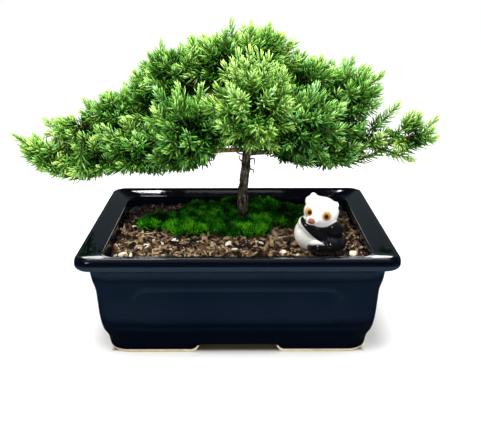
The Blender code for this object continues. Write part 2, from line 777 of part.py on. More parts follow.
def build_figurine():
    """A seated panda: one ceramic body of rounded volumes that run into each other."""
    ceramic = material("white_ceramic", (0.85, 0.84, 0.80), 0.15)
    x, y = figurine_spot()
    base = soil_top(x, y) + CLEARANCE
    unit = FIGURINE_HEIGHT / 42.0
    # name, middle, half sizes, heading, rise: millimetres at the drawn height of 42
    volumes = [
        ("belly", (-2, 2, 11), (15, 12.5, 13.5), 0, 0),
        ("chest", (0, 1, 19), (11.5, 10, 9), 0, 0),
        ("head", (0.5, -1, 30), (12.2, 10.5, 10.2), 0, 0),
        ("ear_left", (-8.2, 1, 38), (2.6, 1.9, 4.2), 0, 0),
        ("ear_right", (10.5, 1, 34.8), (3.0, 2.0, 3.6), 0, 0),
        ("muzzle", (-3.0, -9.6, 27.0), (4.6, 4.0, 3.6), 0, 0),
        ("arm_left", (-6, -8, 17.5), (10.5, 4.0, 4.2), 0, -38),
        ("arm_right", (9.5, -5, 17), (5.6, 5.2, 8.0), 0, 0),
        ("leg_left", (-1, -10, 5.5), (6.5, 6.5, 6.0), 0, 0),
        ("leg_right", (11, -7, 6), (8.5, 8.0, 6.8), 0, 0),
        ("tail", (14, 5, 7), (4.5, 4.5, 4.0), 0, 0),
    ]
    turn = Matrix.Rotation(math.radians(-8), 3, "Z")
    figurine = None
    for name, middle, half, heading, rise in volumes:
        place = Vector((x, y, base)) + turn @ Vector(middle) * unit
        frame = turn @ spray_frame(heading, rise)
        made = ellipsoid(name, place, [value * unit for value in half], frame, None, 10, 7)
        if figurine is None:
            figurine = made
            figurine.name = "panda_figurine"
            figurine.data.materials.append(ceramic)
        else:
            boolean(figurine, made, "UNION")
    cut_by_plane(figurine, Vector((x, y, base + 1.0)) * MM, Vector((0, 0, -1)))
    shade(figurine, 50)
    return figurine


def stand_on_origin():
    """Parent every piece to one empty whose place puts the model's box over the origin."""
    centre = bpy.data.objects.new("model", None)
    bpy.context.scene.collection.objects.link(centre)
    for item in bpy.data.objects:
        if item.type == "MESH":
            item.parent = centre
    centre.location = (-BOX_MIDDLE_X * MM, -BOX_MIDDLE_Y * MM, 0)


def main():
    clear_scene()
    build_pot()
    for name, side in (("drain_screen_left", -1), ("drain_screen_right", 1)):
        build_screen(name, side * 0.5 * DRAIN_SPACING)
    wood_room = build_wood("wood_room", CLEARANCE)
    build_wood("trunk", finish=material("juniper_bark", (0.20, 0.14, 0.09), 0.9))
    build_soil(wood_room)
    build_foliage(wood_room)
    build_moss(wood_room)
    build_stones()
    build_figurine()
    bpy.data.objects.remove(wood_room, do_unlink=True)
    stand_on_origin()


main()
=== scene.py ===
"""Looks of a small juniper bonsai: navy glazed pot, bark mix, moss, tree and a ceramic panda.

Every shape is worked out in millimetres round the middle of the pot, with +Z up and
the ground at zero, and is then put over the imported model's pot.
"""

import math

import bpy
import numpy as np
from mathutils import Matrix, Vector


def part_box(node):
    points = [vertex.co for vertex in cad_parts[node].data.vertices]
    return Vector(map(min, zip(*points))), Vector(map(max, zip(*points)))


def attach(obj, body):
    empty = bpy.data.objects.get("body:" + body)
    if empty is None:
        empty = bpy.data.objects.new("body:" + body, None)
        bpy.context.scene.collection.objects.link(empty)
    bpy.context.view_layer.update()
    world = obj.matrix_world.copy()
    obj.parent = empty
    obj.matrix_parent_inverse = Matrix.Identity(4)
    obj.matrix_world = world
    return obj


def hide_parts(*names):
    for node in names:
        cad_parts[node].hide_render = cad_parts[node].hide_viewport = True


bl_info = {
    "name": "Potted Juniper Bonsai",
    "version": (1, 0, 0),
    "blender": (4, 5, 0),
    "location": "View3D > Sidebar > Bonsai",
    "description": "Builds a juniper bonsai in its glazed pot round a packed model",
    "category": "Add Mesh",
}

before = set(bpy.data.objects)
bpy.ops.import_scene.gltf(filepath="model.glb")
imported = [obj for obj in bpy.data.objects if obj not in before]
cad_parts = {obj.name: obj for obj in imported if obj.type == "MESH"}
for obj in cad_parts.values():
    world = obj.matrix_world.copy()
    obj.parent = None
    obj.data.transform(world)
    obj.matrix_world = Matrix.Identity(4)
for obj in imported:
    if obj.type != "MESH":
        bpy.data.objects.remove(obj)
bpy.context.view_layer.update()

MM = 0.001
POT_LOW, POT_HIGH = (np.array(corner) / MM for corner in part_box("pot"))
POT_MIDDLE = np.array((*(0.5 * (POT_LOW + POT_HIGH))[:2], 0.0))
POT_HALF = 0.5 * (POT_HIGH - POT_LOW)[:2]
POT_HEIGHT = float(POT_HIGH[2])

# The pot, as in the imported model
RIM_BAND = 15.2
RIM_FALL = 3.5
RIM_THICK = 8.3
RIM_CORNER = 9.0
BODY_CORNER = 16.0
INNER_CORNER = 10.0
WALL = 6.0
FLOOR = 6.0
NECK_INSET = 9.0
WAIST_INSET = 13.6
BASE_INSET = 24.0
END_SHARE = 0.62  # the two ends lean in by this share of the front's insets
WALL_LEAN = (END_SHARE, 1.0)  # share of the inset at the ends and at the long walls
FOOT_HEIGHT = 8.0
FOOT_WIDTH = 9.0
FOOT_ARCH = 7.0
FOOT_GAP = (54.0, 40.0)  # between two feet, along the front and along the side
FOOT_END_ROUND = 5.5
DRAIN_HOLE = 12.0
DRAIN_SPACING = 84.0
PANEL_HALF = (69.0, 46.0)
PANEL_LOW = 22.0
PANEL_TOP = 54.0
PANEL_CORNER = 11.0

# The soil and the tree's foot
SOIL_HALF = (86.3, 62.8)
SOIL_EDGE = 66.1
SOIL_CROWN = 5.0
TRUNK_SPOT = (4.0, 22.0)
TREE_HEIGHT = 147.0
TRUNK_DIAMETER = 8.6
TRUNK_TOP_DIAMETER = 4.6
ROOT_SPREAD = 21.0
ROOT_DEPTH = 15.0

CAMERA_SPOT = (-0.55, -457.2, 237.3)
UP = np.array((0.0, 0.0, 1.0))
TURN = 2 * math.pi
PALETTE_MAP = "OFBake"

# The trunk's middle line: millimetres sideways and backwards from the foot, at
# hundredths of the tree's height.
TRUNK_LINE = [
    (0, 0, -6),
    (0, 0, 4),
    (0.0, 0, 14),
    (2.0, 0, 26),
    (3.0, -1, 37),
    (3.5, -3, 52),
    (4, -1, 66),
    (9, 1, 82),
]

# Each bough: where it leaves the trunk, in hundredths of the tree's height, and the
# sprays that it carries from the inside out.
BOUGHS = [
    (36, ("left_low_inner", "left_low_mid", "left_low_outer", "left_low_tip")),
    (45, ("left_mid_inner", "left_mid_mid", "left_mid_outer")),
    (58, ("left_high",)),
    (34, ("right_low_inner", "right_low_mid", "right_low_outer", "right_low_tip")),
    (41, ("right_mid_inner", "right_mid_outer")),
    (56, ("right_high",)),
    (48, ("front_crown",)),
    (42, ("front_left",)),
    (44, ("front_right",)),
    (46, ("back_left",)),
    (50, ("back_right",)),
    (54, ("back_middle",)),
    (62, ("top_left", "top_right")),
    (48, ("heart",)),
]

# How each spray differs: shoots for its size, lightness and warmth, else 1, 0 and 0; the lightness is partly
# painted shade and light, darker and cooler for the inner sprays such as the heart, lighter for the outer
# ones
SPRAY_LOOKS = {
    "front_crown": (1.0, 0.14, 0.40),
    "front_left": (1.0, -0.08, -0.20),
    "front_right": (1.0, -0.06, -0.25),
    "top_left": (1.0, 0.08, 0.15),
    "top_right": (1.0, 0.10, 0.25),
    "left_low_tip": (0.8, 0.17, 0.30),
    "left_low_outer": (0.9, 0.09, 0.20),
    "left_mid_outer": (1.0, 0.11, 0.25),
    "left_low_inner": (1.1, -0.12, -0.25),
    "right_low_inner": (1.0, -0.09, -0.65),
    "right_mid_inner": (0.9, -0.14, -0.55),
    "right_low_mid": (1.0, -0.02, -0.25),
    "right_low_outer": (0.26, 0.08, 0.45),
    "right_low_tip": (0.17, 0.10, 0.45),
    "heart": (1.1, -0.20, -0.35),
}

# The tree's outline as seen from the front: upper and lower edge (sideways and up)
CROWN_TOP = [
    (-168, 134), (-150, 134), (-141, 146), (-118, 147), (-110, 161), (-88, 168),
    (-77, 174), (-70, 184), (-54, 201), (-45, 195), (-38, 201), (-29, 205),
    (-12, 205), (-4, 215), (11, 215), (21, 213), (37, 204), (43, 198),
    (48, 189), (55, 193), (68, 188), (77, 192), (91, 186), (99, 180),
    (102, 168), (106, 160), (114, 160), (125, 152), (143, 148), (149, 133),
]
CROWN_LOW = [
    (-168, 134), (-159, 122), (-143, 107), (-125, 101), (-113, 100), (-100, 104),
    (-74, 107), (-54, 105), (-36, 109), (-23, 113), (-13, 119), (0, 124),
    (12, 121), (28, 119), (48, 112), (71, 110), (91, 118), (103, 130),
    (108, 126), (129, 115), (149, 133),
]

# Shoots that stand out on the tree's outline: spray, tip (sideways and up from the
# pot's middle), the way that the tip points, and the length.
LEADERS = [
    ("left_low_tip", (-163, 137), (-0.80, 0.60), 40),
    ("left_low_tip", (-153, 126), (-0.75, 0.50), 30),
    ("left_low_tip", (-144, 112), (-0.85, 0.30), 26),
    ("left_mid_outer", (-139, 148), (-0.72, 0.66), 34),
    ("left_mid_outer", (-124, 138), (-0.70, 0.60), 26),
    ("left_mid_mid", (-109, 162), (-0.42, 0.90), 30),
    ("left_mid_mid", (-91, 167), (-0.15, 0.98), 28),
    ("left_mid_inner", (-80, 170), (0.05, 1.00), 24),
    ("left_mid_inner", (-72, 182), (-0.45, 0.88), 28),
    ("left_high", (-53, 202), (-0.08, 1.00), 34),
    ("left_high", (-39, 200), (-0.25, 0.96), 24),
    ("left_high", (-31, 205), (-0.05, 1.00), 26),
    ("top_left", (-21, 204), (-0.10, 1.00), 24),
    ("top_left", (-4, 216), (-0.05, 1.00), 36),
    ("top_right", (10, 215), (0.05, 1.00), 32),
    ("top_right", (22, 214), (0.28, 0.95), 34),
    ("top_right", (38, 202), (0.42, 0.90), 28),
    ("right_high", (47, 194), (0.35, 0.92), 24),
    ("right_high", (59, 192), (0.20, 0.98), 30),
    ("right_mid_outer", (81, 191), (0.38, 0.92), 32),
    ("right_mid_outer", (93, 184), (0.50, 0.86), 26),
    ("right_mid_outer", (103, 181), (0.64, 0.76), 30),
    ("right_mid_outer", (101, 170), (0.80, 0.55), 26),
    ("right_low_tip", (116, 160), (0.55, 0.80), 26),
    ("right_low_tip", (127, 153), (0.45, 0.88), 24),
    ("right_low_tip", (144, 149), (0.62, 0.76), 34),
    ("right_low_tip", (145, 135), (0.88, 0.42), 32),
    ("right_low_tip", (130, 118), (0.90, -0.36), 30),
    ("right_low_outer", (108, 126), (0.85, 0.45), 28),
]

# Shoots that hang from the underside: spray, tip (sideways and up), and its way
HANGERS = [
    ("left_low_outer", (-128, 103), (-0.45, -0.80)),
    ("left_low_outer", (-116, 101), (-0.35, -0.85)),
    ("left_low_mid", (-103, 104), (-0.20, -0.90)),
    ("left_low_mid", (-91, 106), (-0.40, -0.85)),
    ("left_low_mid", (-79, 107), (-0.10, -0.95)),
    ("left_low_inner", (-66, 106), (-0.35, -0.85)),
    ("left_low_inner", (-55, 105), (-0.25, -0.90)),
    ("left_low_inner", (-46, 108), (0.10, -0.95)),
    ("left_low_inner", (-37, 108), (-0.35, -0.85)),
    ("left_low_inner", (-30, 112), (-0.20, -0.90)),
    ("heart", (-24, 114), (-0.45, -0.80)),
    ("heart", (-17, 118), (-0.10, -0.95)),
    ("heart", (-11, 121), (-0.50, -0.75)),
    ("heart", (-6, 126), (-0.60, -0.60)),
    ("heart", (14, 124), (0.60, -0.60)),
    ("right_low_inner", (21, 120), (0.45, -0.75)),
    ("right_low_inner", (30, 119), (0.75, -0.45)),
    ("right_low_inner", (40, 115), (0.30, -0.90)),
    ("right_low_inner", (49, 113), (0.45, -0.80)),
    ("right_low_mid", (58, 112), (0.10, -0.95)),
    ("right_low_mid", (68, 111), (0.40, -0.85)),
    ("right_low_mid", (79, 113), (0.55, -0.75)),
    ("right_low_mid", (89, 118), (0.70, -0.60)),
]

# Each moss cushion's middle and half sizes, as shares of the soil's half sizes
MOSS_BLADE = 0.5  # width of a blade of moss
MOSS = {
    "moss_left": ((-0.66, 0.17), (0.18, 0.25)),
    "moss_back_left": ((-0.27, 0.38), (0.31, 0.40)),
    "moss_front_left": ((-0.36, -0.12), (0.21, 0.19)),
    "moss_front": ((0.02, -0.13), (0.25, 0.26)),
    "moss_right": ((0.35, 0.36), (0.30, 0.38)),
    "moss_back": ((0.06, 0.70), (0.22, 0.20)),
}
MOSS_HEIGHT = 8.0

# The panda's volumes at a height of 42: middle, half sizes and rise in degrees
PANDA_TURN = -8.0
PANDA_TALL = 41.2  # height of the figurine that its volumes add up to
PANDA = {
    "belly": ((-2.0, 2.0, 11.0), (14.4, 12.0, 12.8), 0),
    "chest": ((1.0, 1.0, 17.5), (12.4, 10.0, 9.5), 0),
    "head": ((1.4, -1.0, 27.6), (11.6, 10.4, 10.2), 0),
    "crown": ((-1.8, 0.0, 32.6), (8.0, 6.6, 5.6), -22),
    "ear_left": ((-3.8, 0.5, 37.4), (2.3, 1.8, 3.0), 24),
    "ear_tuft": ((-8.0, 0.5, 34.0), (1.0, 1.2, 3.0), 16),
    "ear_right": ((10.2, 0.5, 31.6), (2.5, 2.0, 3.0), -28),
    "muzzle": ((-3.6, -8.6, 24.6), (4.6, 3.4, 3.2), 0),
    "shoulder": ((-8.6, -2.5, 19.6), (5.2, 5.4, 4.8), -40),
    "arm_left": ((-1.6, -7.2, 15.0), (12.0, 4.6, 4.6), -36),
    "arm_right": ((10.2, -4.5, 15.6), (5.8, 6.0, 8.0), 10),
    "leg_left": ((1.6, -9.0, 5.8), (7.6, 6.4, 5.8), 0),
    "leg_right": ((10.0, -6.4, 6.4), (8.4, 8.0, 7.2), 0),
    "tail": ((15.2, -1.0, 6.8), (3.6, 4.4, 3.8), 0),
}


# ---------------------------------------------------------------- small tools


def place(points):
    """From millimetres round the pot's middle to metres in the shared frame."""
    return (np.asarray(points, float) + POT_MIDDLE) * MM


def unit(vectors):
    """Each vector divided by its length."""
    return vectors / np.maximum(np.linalg.norm(vectors, axis=-1, keepdims=True), 1e-9)


def smooth_step(value, low, high):
    """A share that eases from 0 at low to 1 at high: 3t^2 - 2t^3."""
    t = np.clip((value - low) / (high - low), 0.0, 1.0)
    return t * t * (3 - 2 * t)


def ripple(points, scale, seed, waves=16):
    """Smooth noise of about -1 to 1: many plane waves of random heading, length and phase, added."""
    random = np.random.default_rng(seed)
    heading = unit(random.normal(size=(waves, 3)))
    heading = heading * random.uniform(0.6, 1.7, (waves, 1)) * TURN / np.asarray(scale, float)
    phase = random.uniform(0, TURN, waves)
    return np.sin(np.asarray(points) @ heading.T + phase).sum(-1) / math.sqrt(2 * waves)


def smooth_line(points, steps):
    """A Catmull-Rom curve through the points, with `steps` pieces between two of them."""
    p = np.asarray(points, float)
    p = np.vstack((2 * p[0] - p[1], p, 2 * p[-1] - p[-2]))
    a, b, c, d = (p[k : len(p) - 3 + k, None] for k in range(4))
    t = (np.arange(steps) / steps)[None, :, None]
    bend = (2 * a - 5 * b + 4 * c - d) * t**2 + (3 * b - a - 3 * c + d) * t**3
    line = 0.5 * (2 * b + (c - a) * t + bend)
    return np.vstack((line.reshape(-1, p.shape[1]), p[-2]))


def make_piece(name, points, face_sets, finish, stands_for=(), slot=None, uv=None, smooth=True):
    """Put whole arrays of points (millimetres round the pot) and faces into a new piece."""
    mesh = bpy.data.meshes.new(name)
    corners = np.concatenate([faces.ravel() for faces in face_sets]).astype(np.int32)
    sides = np.concatenate([np.full(len(faces), faces.shape[1]) for faces in face_sets])
    starts = np.concatenate(([0], np.cumsum(sides)[:-1])).astype(np.int32)
    mesh.vertices.add(len(points))
    mesh.vertices.foreach_set("co", place(points).astype(np.float32).ravel())
    mesh.loops.add(len(corners))
    mesh.loops.foreach_set("vertex_index", corners)
    mesh.polygons.add(len(sides))
    mesh.polygons.foreach_set("loop_start", starts)
    if uv is not None:
        layer = mesh.uv_layers.new(name=PALETTE_MAP)
        layer.data.foreach_set("uv", uv[corners].astype(np.float32).ravel())
    mesh.update(calc_edges=True)
    mesh.polygons.foreach_set("use_smooth", np.full(len(sides), smooth))
    mesh.materials.append(finish)
    piece = bpy.data.objects.new(name, mesh)
    bpy.context.scene.collection.objects.link(piece)
    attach(piece, "root")
    if stands_for:
        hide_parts(*stands_for)
    return piece


def join_parts(parts):
    """Several (points, face sets, uv) as one, with the face numbers moved on."""
    points, faces, uv, count = [], [], [], 0
    for part_points, part_faces, part_uv in parts:
        points.append(part_points)
        faces.extend(face + count for face in part_faces)
        uv.append(part_uv)
        count += len(part_points)
    return np.vstack(points), faces, np.vstack(uv)


def ring_faces(rows, columns):
    """Four-sided faces of a tube of `rows` rings, each ring closed on itself."""
    i, j = np.meshgrid(np.arange(rows - 1), np.arange(columns), indexing="ij")
    k = (j + 1) % columns
    quads = (i * columns + j, i * columns + k, (i + 1) * columns + k, (i + 1) * columns + j)
    return np.stack(quads, -1).reshape(-1, 4)


def close_ends(points, rows, columns):
    """Points and fans that close both ends of a tube of rings at their middles."""
    rings = points.reshape(rows, columns, 3)
    both = np.stack((rings[0].mean(0), rings[-1].mean(0)))
    j = np.arange(columns)
    k = (j + 1) % columns
    first, last = rows * columns, rows * columns + 1
    top = (rows - 1) * columns
    low_fan = np.stack((np.full(columns, first), k, j), -1)
    high_fan = np.stack((top + j, top + k, np.full(columns, last)), -1)
    return np.vstack((points, both)), [low_fan, high_fan]


def closed_tube(line, radii, columns, relief=None):
    """A tube along a line: each ring lies across the line, turned as little as possible."""
    along = unit(np.gradient(line, axis=0))
    guide = np.array((0.0, 1.0, 0.0)) if abs(along[0, 1]) < 0.8 else np.array((1.0, 0.0, 0.0))
    across = unit(np.cross(guide, along))
    other = np.cross(along, across)
    angle = TURN * np.arange(columns) / columns
    radius = np.broadcast_to(np.asarray(radii, float)[:, None], (len(line), columns)).copy()
    if relief is not None:
        radius = radius * (1 + relief(line, angle))
    wheel = np.cos(angle)[None, :, None] * across[:, None] + np.sin(angle)[None, :, None] * other[:, None]
    points = (line[:, None] + radius[..., None] * wheel).reshape(-1, 3)
    points, fans = close_ends(points, len(line), columns)
    return points, [ring_faces(len(line), columns)] + fans


def soil_top(x, y):
    """Height of the soil: heaped in the middle, falling to its edge."""
    u = np.minimum(1.0, np.abs(x) / SOIL_HALF[0])
    v = np.minimum(1.0, np.abs(y) / SOIL_HALF[1])
    return SOIL_EDGE + SOIL_CROWN * (1 - u**2) * (1 - v**2)


# ------------------------------------------------------------------ materials


def new_material(name):
    """A material with only a Principled shader and its output, and the shader."""
    made = bpy.data.materials.new(name)
    made.use_nodes = True
    return made, made.node_tree, made.node_tree.nodes["Principled BSDF"]


def node(tree, kind, inputs=None, **settings):
    """A node with its settings, and with its inputs set or linked."""
    made = tree.nodes.new(kind)
    for key, value in settings.items():
        setattr(made, key, value)
    for key, value in (inputs or {}).items():
        if isinstance(value, bpy.types.NodeSocket):
            tree.links.new(value, made.inputs[key])
        else:
            made.inputs[key].default_value = value
    return made


def ramp(tree, value, stops, interpolation="LINEAR"):
    """A colour ramp over `value`, from (place, colour) stops."""
    made = node(tree, "ShaderNodeValToRGB", {0: value})
    band = made.color_ramp
    band.interpolation = interpolation
    while len(band.elements) < len(stops):
        band.elements.new(0.5)
    for element, (spot, colour) in zip(band.elements, stops):
        element.position = spot
        element.color = (*colour, 1.0)
    return made.outputs[0]


def shares(tree, value, low, high):
    """A share that goes smoothly from 0 at low to 1 at high."""
    inputs = {"Value": value, "From Min": low, "From Max": high}
    made = node(tree, "ShaderNodeMapRange", inputs, interpolation_type="SMOOTHSTEP")
    return made.outputs[0]


def maths(tree, operation, first, second=0.0):
    """The result of one sum on two values; each may be a number or a socket."""
    return node(tree, "ShaderNodeMath", {0: first, 1: second}, operation=operation).outputs[0]


def blend_colours(tree, share, first, second, kind="MIX"):
    """Two colours mixed by a share; each may be a colour or a socket."""
    made = node(tree, "ShaderNodeMix", data_type="RGBA", blend_type=kind)
    for key, value in ((0, share), (6, first), (7, second)):
        if isinstance(value, bpy.types.NodeSocket):
            tree.links.new(value, made.inputs[key])
        elif key == 0:
            made.inputs[key].default_value = value
        else:
            made.inputs[key].default_value = (*value, 1.0)
    return made.outputs[2]


def new_group(name, inputs, outputs):
    """An empty shader node group with named sockets, and its two end nodes."""
    tree = bpy.data.node_groups.new(name, "ShaderNodeTree")
    for label, kind, default in inputs:
        socket = tree.interface.new_socket(name=label, in_out="INPUT", socket_type=kind)
        if default is not None:
            socket.default_value = default
    for label, kind in outputs:
        tree.interface.new_socket(name=label, in_out="OUTPUT", socket_type=kind)
    return tree, tree.nodes.new("NodeGroupInput"), tree.nodes.new("NodeGroupOutput")


def use_group(tree, group, inputs):
    """A node that holds a shared group, with its inputs set or linked."""
    made = tree.nodes.new("ShaderNodeGroup")
    made.node_tree = group
    for key, value in inputs.items():
        if isinstance(value, bpy.types.NodeSocket):
            tree.links.new(value, made.inputs[key])
        else:
            made.inputs[key].default_value = value
    return made


def grain_group():
    """Fine and coarse noise mixed, in object coordinates: a mask and a height."""
    name = "Mottle"
    if name in bpy.data.node_groups:
        return bpy.data.node_groups[name]
    inputs = [
        ("Vector", "NodeSocketVector", None),
        ("Coarse", "NodeSocketFloat", 60.0),
        ("Fine", "NodeSocketFloat", 600.0),
        ("Fine Share", "NodeSocketFloat", 0.4),
    ]
    outputs = [("Mask", "NodeSocketFloat"), ("Height", "NodeSocketFloat")]
    tree, begin, end = new_group(name, inputs, outputs)
    coarse_in = {"Vector": begin.outputs["Vector"], "Scale": begin.outputs["Coarse"], "Detail": 4.0}
    coarse = node(tree, "ShaderNodeTexNoise", coarse_in)
    fine_in = {"Vector": begin.outputs["Vector"], "Scale": begin.outputs["Fine"], "Detail": 3.0}
    fine = node(tree, "ShaderNodeTexNoise", fine_in)
    both = node(tree, "ShaderNodeMix", {0: begin.outputs["Fine Share"]}, data_type="FLOAT")
    tree.links.new(coarse.outputs[0], both.inputs[2])
    tree.links.new(fine.outputs[0], both.inputs[3])
    tree.links.new(shares(tree, both.outputs[0], 0.32, 0.68), end.inputs["Mask"])
    tree.links.new(both.outputs[0], end.inputs["Height"])
    return tree


def mottled(tree, places, coarse, fine, share=0.4):
    """The mask and the height of the shared mottle at two scales."""
    inputs = {"Vector": places, "Coarse": coarse, "Fine": fine, "Fine Share": share}
    made = use_group(tree, grain_group(), inputs)
    return made.outputs["Mask"], made.outputs["Height"]


def patch_group():
    """A soft-edged ellipsoid in space: 1 inside it and 0 outside."""
    name = "Painted Patch"
    if name in bpy.data.node_groups:
        return bpy.data.node_groups[name]
    sockets = [("Vector", "NodeSocketVector", None), ("Softness", "NodeSocketFloat", 0.05)]
    tree, begin, end = new_group(name, sockets, [("Mask", "NodeSocketFloat")])
    length = node(tree, "ShaderNodeVectorMath", {0: begin.outputs["Vector"]}, operation="LENGTH")
    inputs = {
        "Value": length.outputs["Value"],
        "From Min": maths(tree, "SUBTRACT", 1.0, begin.outputs["Softness"]),
        "From Max": maths(tree, "ADD", 1.0, begin.outputs["Softness"]),
        "To Min": 1.0,
        "To Max": 0.0,
    }
    inside = node(tree, "ShaderNodeMapRange", inputs)
    tree.links.new(inside.outputs[0], end.inputs["Mask"])
    return tree


def object_places(tree):
    """Every point's own place on the piece."""
    return node(tree, "ShaderNodeTexCoord").outputs["Object"]


def palette_places(tree):
    """Across and along the palette map, as two numbers."""
    spot = node(tree, "ShaderNodeUVMap", uv_map=PALETTE_MAP).outputs[0]
    split = node(tree, "ShaderNodeSeparateXYZ", {0: spot})
    return spot, split.outputs[0], split.outputs[1]


def bumped(tree, shader, height, strength, distance):
    """Give a shader fine relief from a height."""
    inputs = {"Height": height, "Strength": strength, "Distance": distance}
    made = node(tree, "ShaderNodeBump", inputs)
    tree.links.new(made.outputs[0], shader.inputs["Normal"])


def glaze_material(props):
    """Glossy navy glaze: painted shade darkens the rim top, the low body and the grooves, a painted
    reflection makes the lip and the neck paler, with pale flecks, a paler line at the panel's upper edge, and
    bare clay at the feet.
    """
    made, tree, shader = new_material("navy_glaze")
    places = object_places(tree)
    inputs = {"Vector": places, "Coarse": 22.0, "Fine": 260.0, "Fine Share": 0.3}
    mottle = use_group(tree, grain_group(), inputs)
    even = blend_colours(tree, mottle.outputs["Mask"], props.glaze_pale, props.glaze_cloud)
    # painted shade: darker glaze on the rim top, the low body and the grooves under the lip and along the
    # panel's top
    depth = node(tree, "ShaderNodeAttribute", attribute_name="painted_shade_glaze").outputs["Fac"]
    deep = blend_colours(tree, depth, even, props.glaze_shaded)
    # painted reflection: paler glaze on the lip's lower edge and the neck; also a paler line at the panel's
    # upper edge
    thin = node(tree, "ShaderNodeAttribute", attribute_name="sheen_and_thin_glaze").outputs["Fac"]
    glaze = blend_colours(tree, thin, deep, props.glaze_sheen_and_thin)
    fleck_in = {"Vector": places, "Scale": 420.0, "Randomness": 1.0}
    fleck = node(tree, "ShaderNodeTexVoronoi", fleck_in)
    fleck_mask = node(tree, "ShaderNodeMath", {0: fleck.outputs["Distance"], 1: 0.10}, operation="LESS_THAN")
    rare_in = {"Vector": places, "Scale": 75.0, "Detail": 1.0}
    rare = node(tree, "ShaderNodeTexNoise", rare_in)
    rare_mask = shares(tree, rare.outputs[0], 0.60, 0.72)
    seen = node(tree, "ShaderNodeMath", {0: fleck_mask.outputs[0], 1: rare_mask}, operation="MULTIPLY")
    glaze = blend_colours(tree, seen.outputs[0], glaze, props.glaze_sheen_and_thin)
    edge = node(tree, "ShaderNodeAttribute", attribute_name="above_foot").outputs["Fac"]
    wavy = node(tree, "ShaderNodeMath", {0: mottle.outputs["Height"], 1: 0.9}, operation="MULTIPLY")
    line = node(tree, "ShaderNodeMath", {0: edge, 1: wavy.outputs[0]}, operation="SUBTRACT")
    covered = shares(tree, line.outputs[0], 2.0, 2.3)
    clay_in = {"Vector": places, "Coarse": 180.0, "Fine": 1500.0, "Fine Share": 0.6}
    clay_grain = use_group(tree, grain_group(), clay_in)
    clay = blend_colours(tree, clay_grain.outputs["Mask"], props.clay_dark, props.clay_light)
    colour = blend_colours(tree, covered, clay, glaze)
    tree.links.new(colour, shader.inputs["Base Color"])
    rough = node(tree, "ShaderNodeMapRange", {"Value": covered, "To Min": 0.9, "To Max": 0.045})
    tree.links.new(rough.outputs[0], shader.inputs["Roughness"])
    shader.inputs["Specular IOR Level"].default_value = props.glaze_gloss
    bumped(tree, shader, mottle.outputs["Height"], 0.12, 0.0006)
    return made


def screen_material():
    """Slightly worn black plastic."""
    made, tree, shader = new_material("screen_plastic")
    mask, height = mottled(tree, object_places(tree), 300.0, 2500.0)
    colour = blend_colours(tree, mask, (0.010, 0.010, 0.010), (0.035, 0.034, 0.032))
    tree.links.new(colour, shader.inputs["Base Color"])
    shader.inputs["Roughness"].default_value = 0.55
    bumped(tree, shader, height, 0.3, 0.0002)
    return made


def earth_material():
    """Dark damp crumbs between the bark pieces, painted nearly black as the shade in the gaps."""
    made, tree, shader = new_material("potting_mix")
    mask, height = mottled(tree, object_places(tree), 160.0, 900.0, 0.5)
    # painted shade: the earth is nearly black, as the gaps between the chips are in shade
    stops = [(0.0, (0.002, 0.001, 0.0007)), (0.6, (0.012, 0.006, 0.004)), (1.0, (0.04, 0.024, 0.014))]
    tree.links.new(ramp(tree, mask, stops), shader.inputs["Base Color"])
    shader.inputs["Roughness"].default_value = 0.9
    bumped(tree, shader, height, 0.8, 0.001)
    return made


def chip_material(props):
    """Bark chips: one shade across the map, with streaks of fibre along each chip."""
    made, tree, shader = new_material("bark_chips")
    spot, across, _ = palette_places(tree)
    stops = [
        (0.0, (0.010, 0.005, 0.004)),
        (0.30, tuple(props.chip_dark)),
        (0.58, tuple(props.chip_mid)),
        (0.80, tuple(props.chip_light)),
        (0.93, (0.42, 0.32, 0.20)),
        (1.0, (0.78, 0.72, 0.60)),
    ]
    shade = ramp(tree, across, stops)
    stretch = node(tree, "ShaderNodeMapping", {"Vector": spot, "Scale": (14.0, 55.0, 1.0)})
    fibre = node(tree, "ShaderNodeTexNoise", {"Vector": stretch.outputs[0], "Scale": 3.0, "Detail": 3.0})
    streak = ramp(tree, fibre.outputs[0], [(0.3, (0.30, 0.27, 0.25)), (0.7, (1.30, 1.27, 1.22))])
    colour = blend_colours(tree, 1.0, shade, streak, "MULTIPLY")
    tree.links.new(colour, shader.inputs["Base Color"])
    rough = node(tree, "ShaderNodeMapRange", {"Value": fibre.outputs[0], "To Min": 0.6, "To Max": 0.95})
    tree.links.new(rough.outputs[0], shader.inputs["Roughness"])
    bumped(tree, shader, fibre.outputs[0], 0.3, 0.0004)
    return made


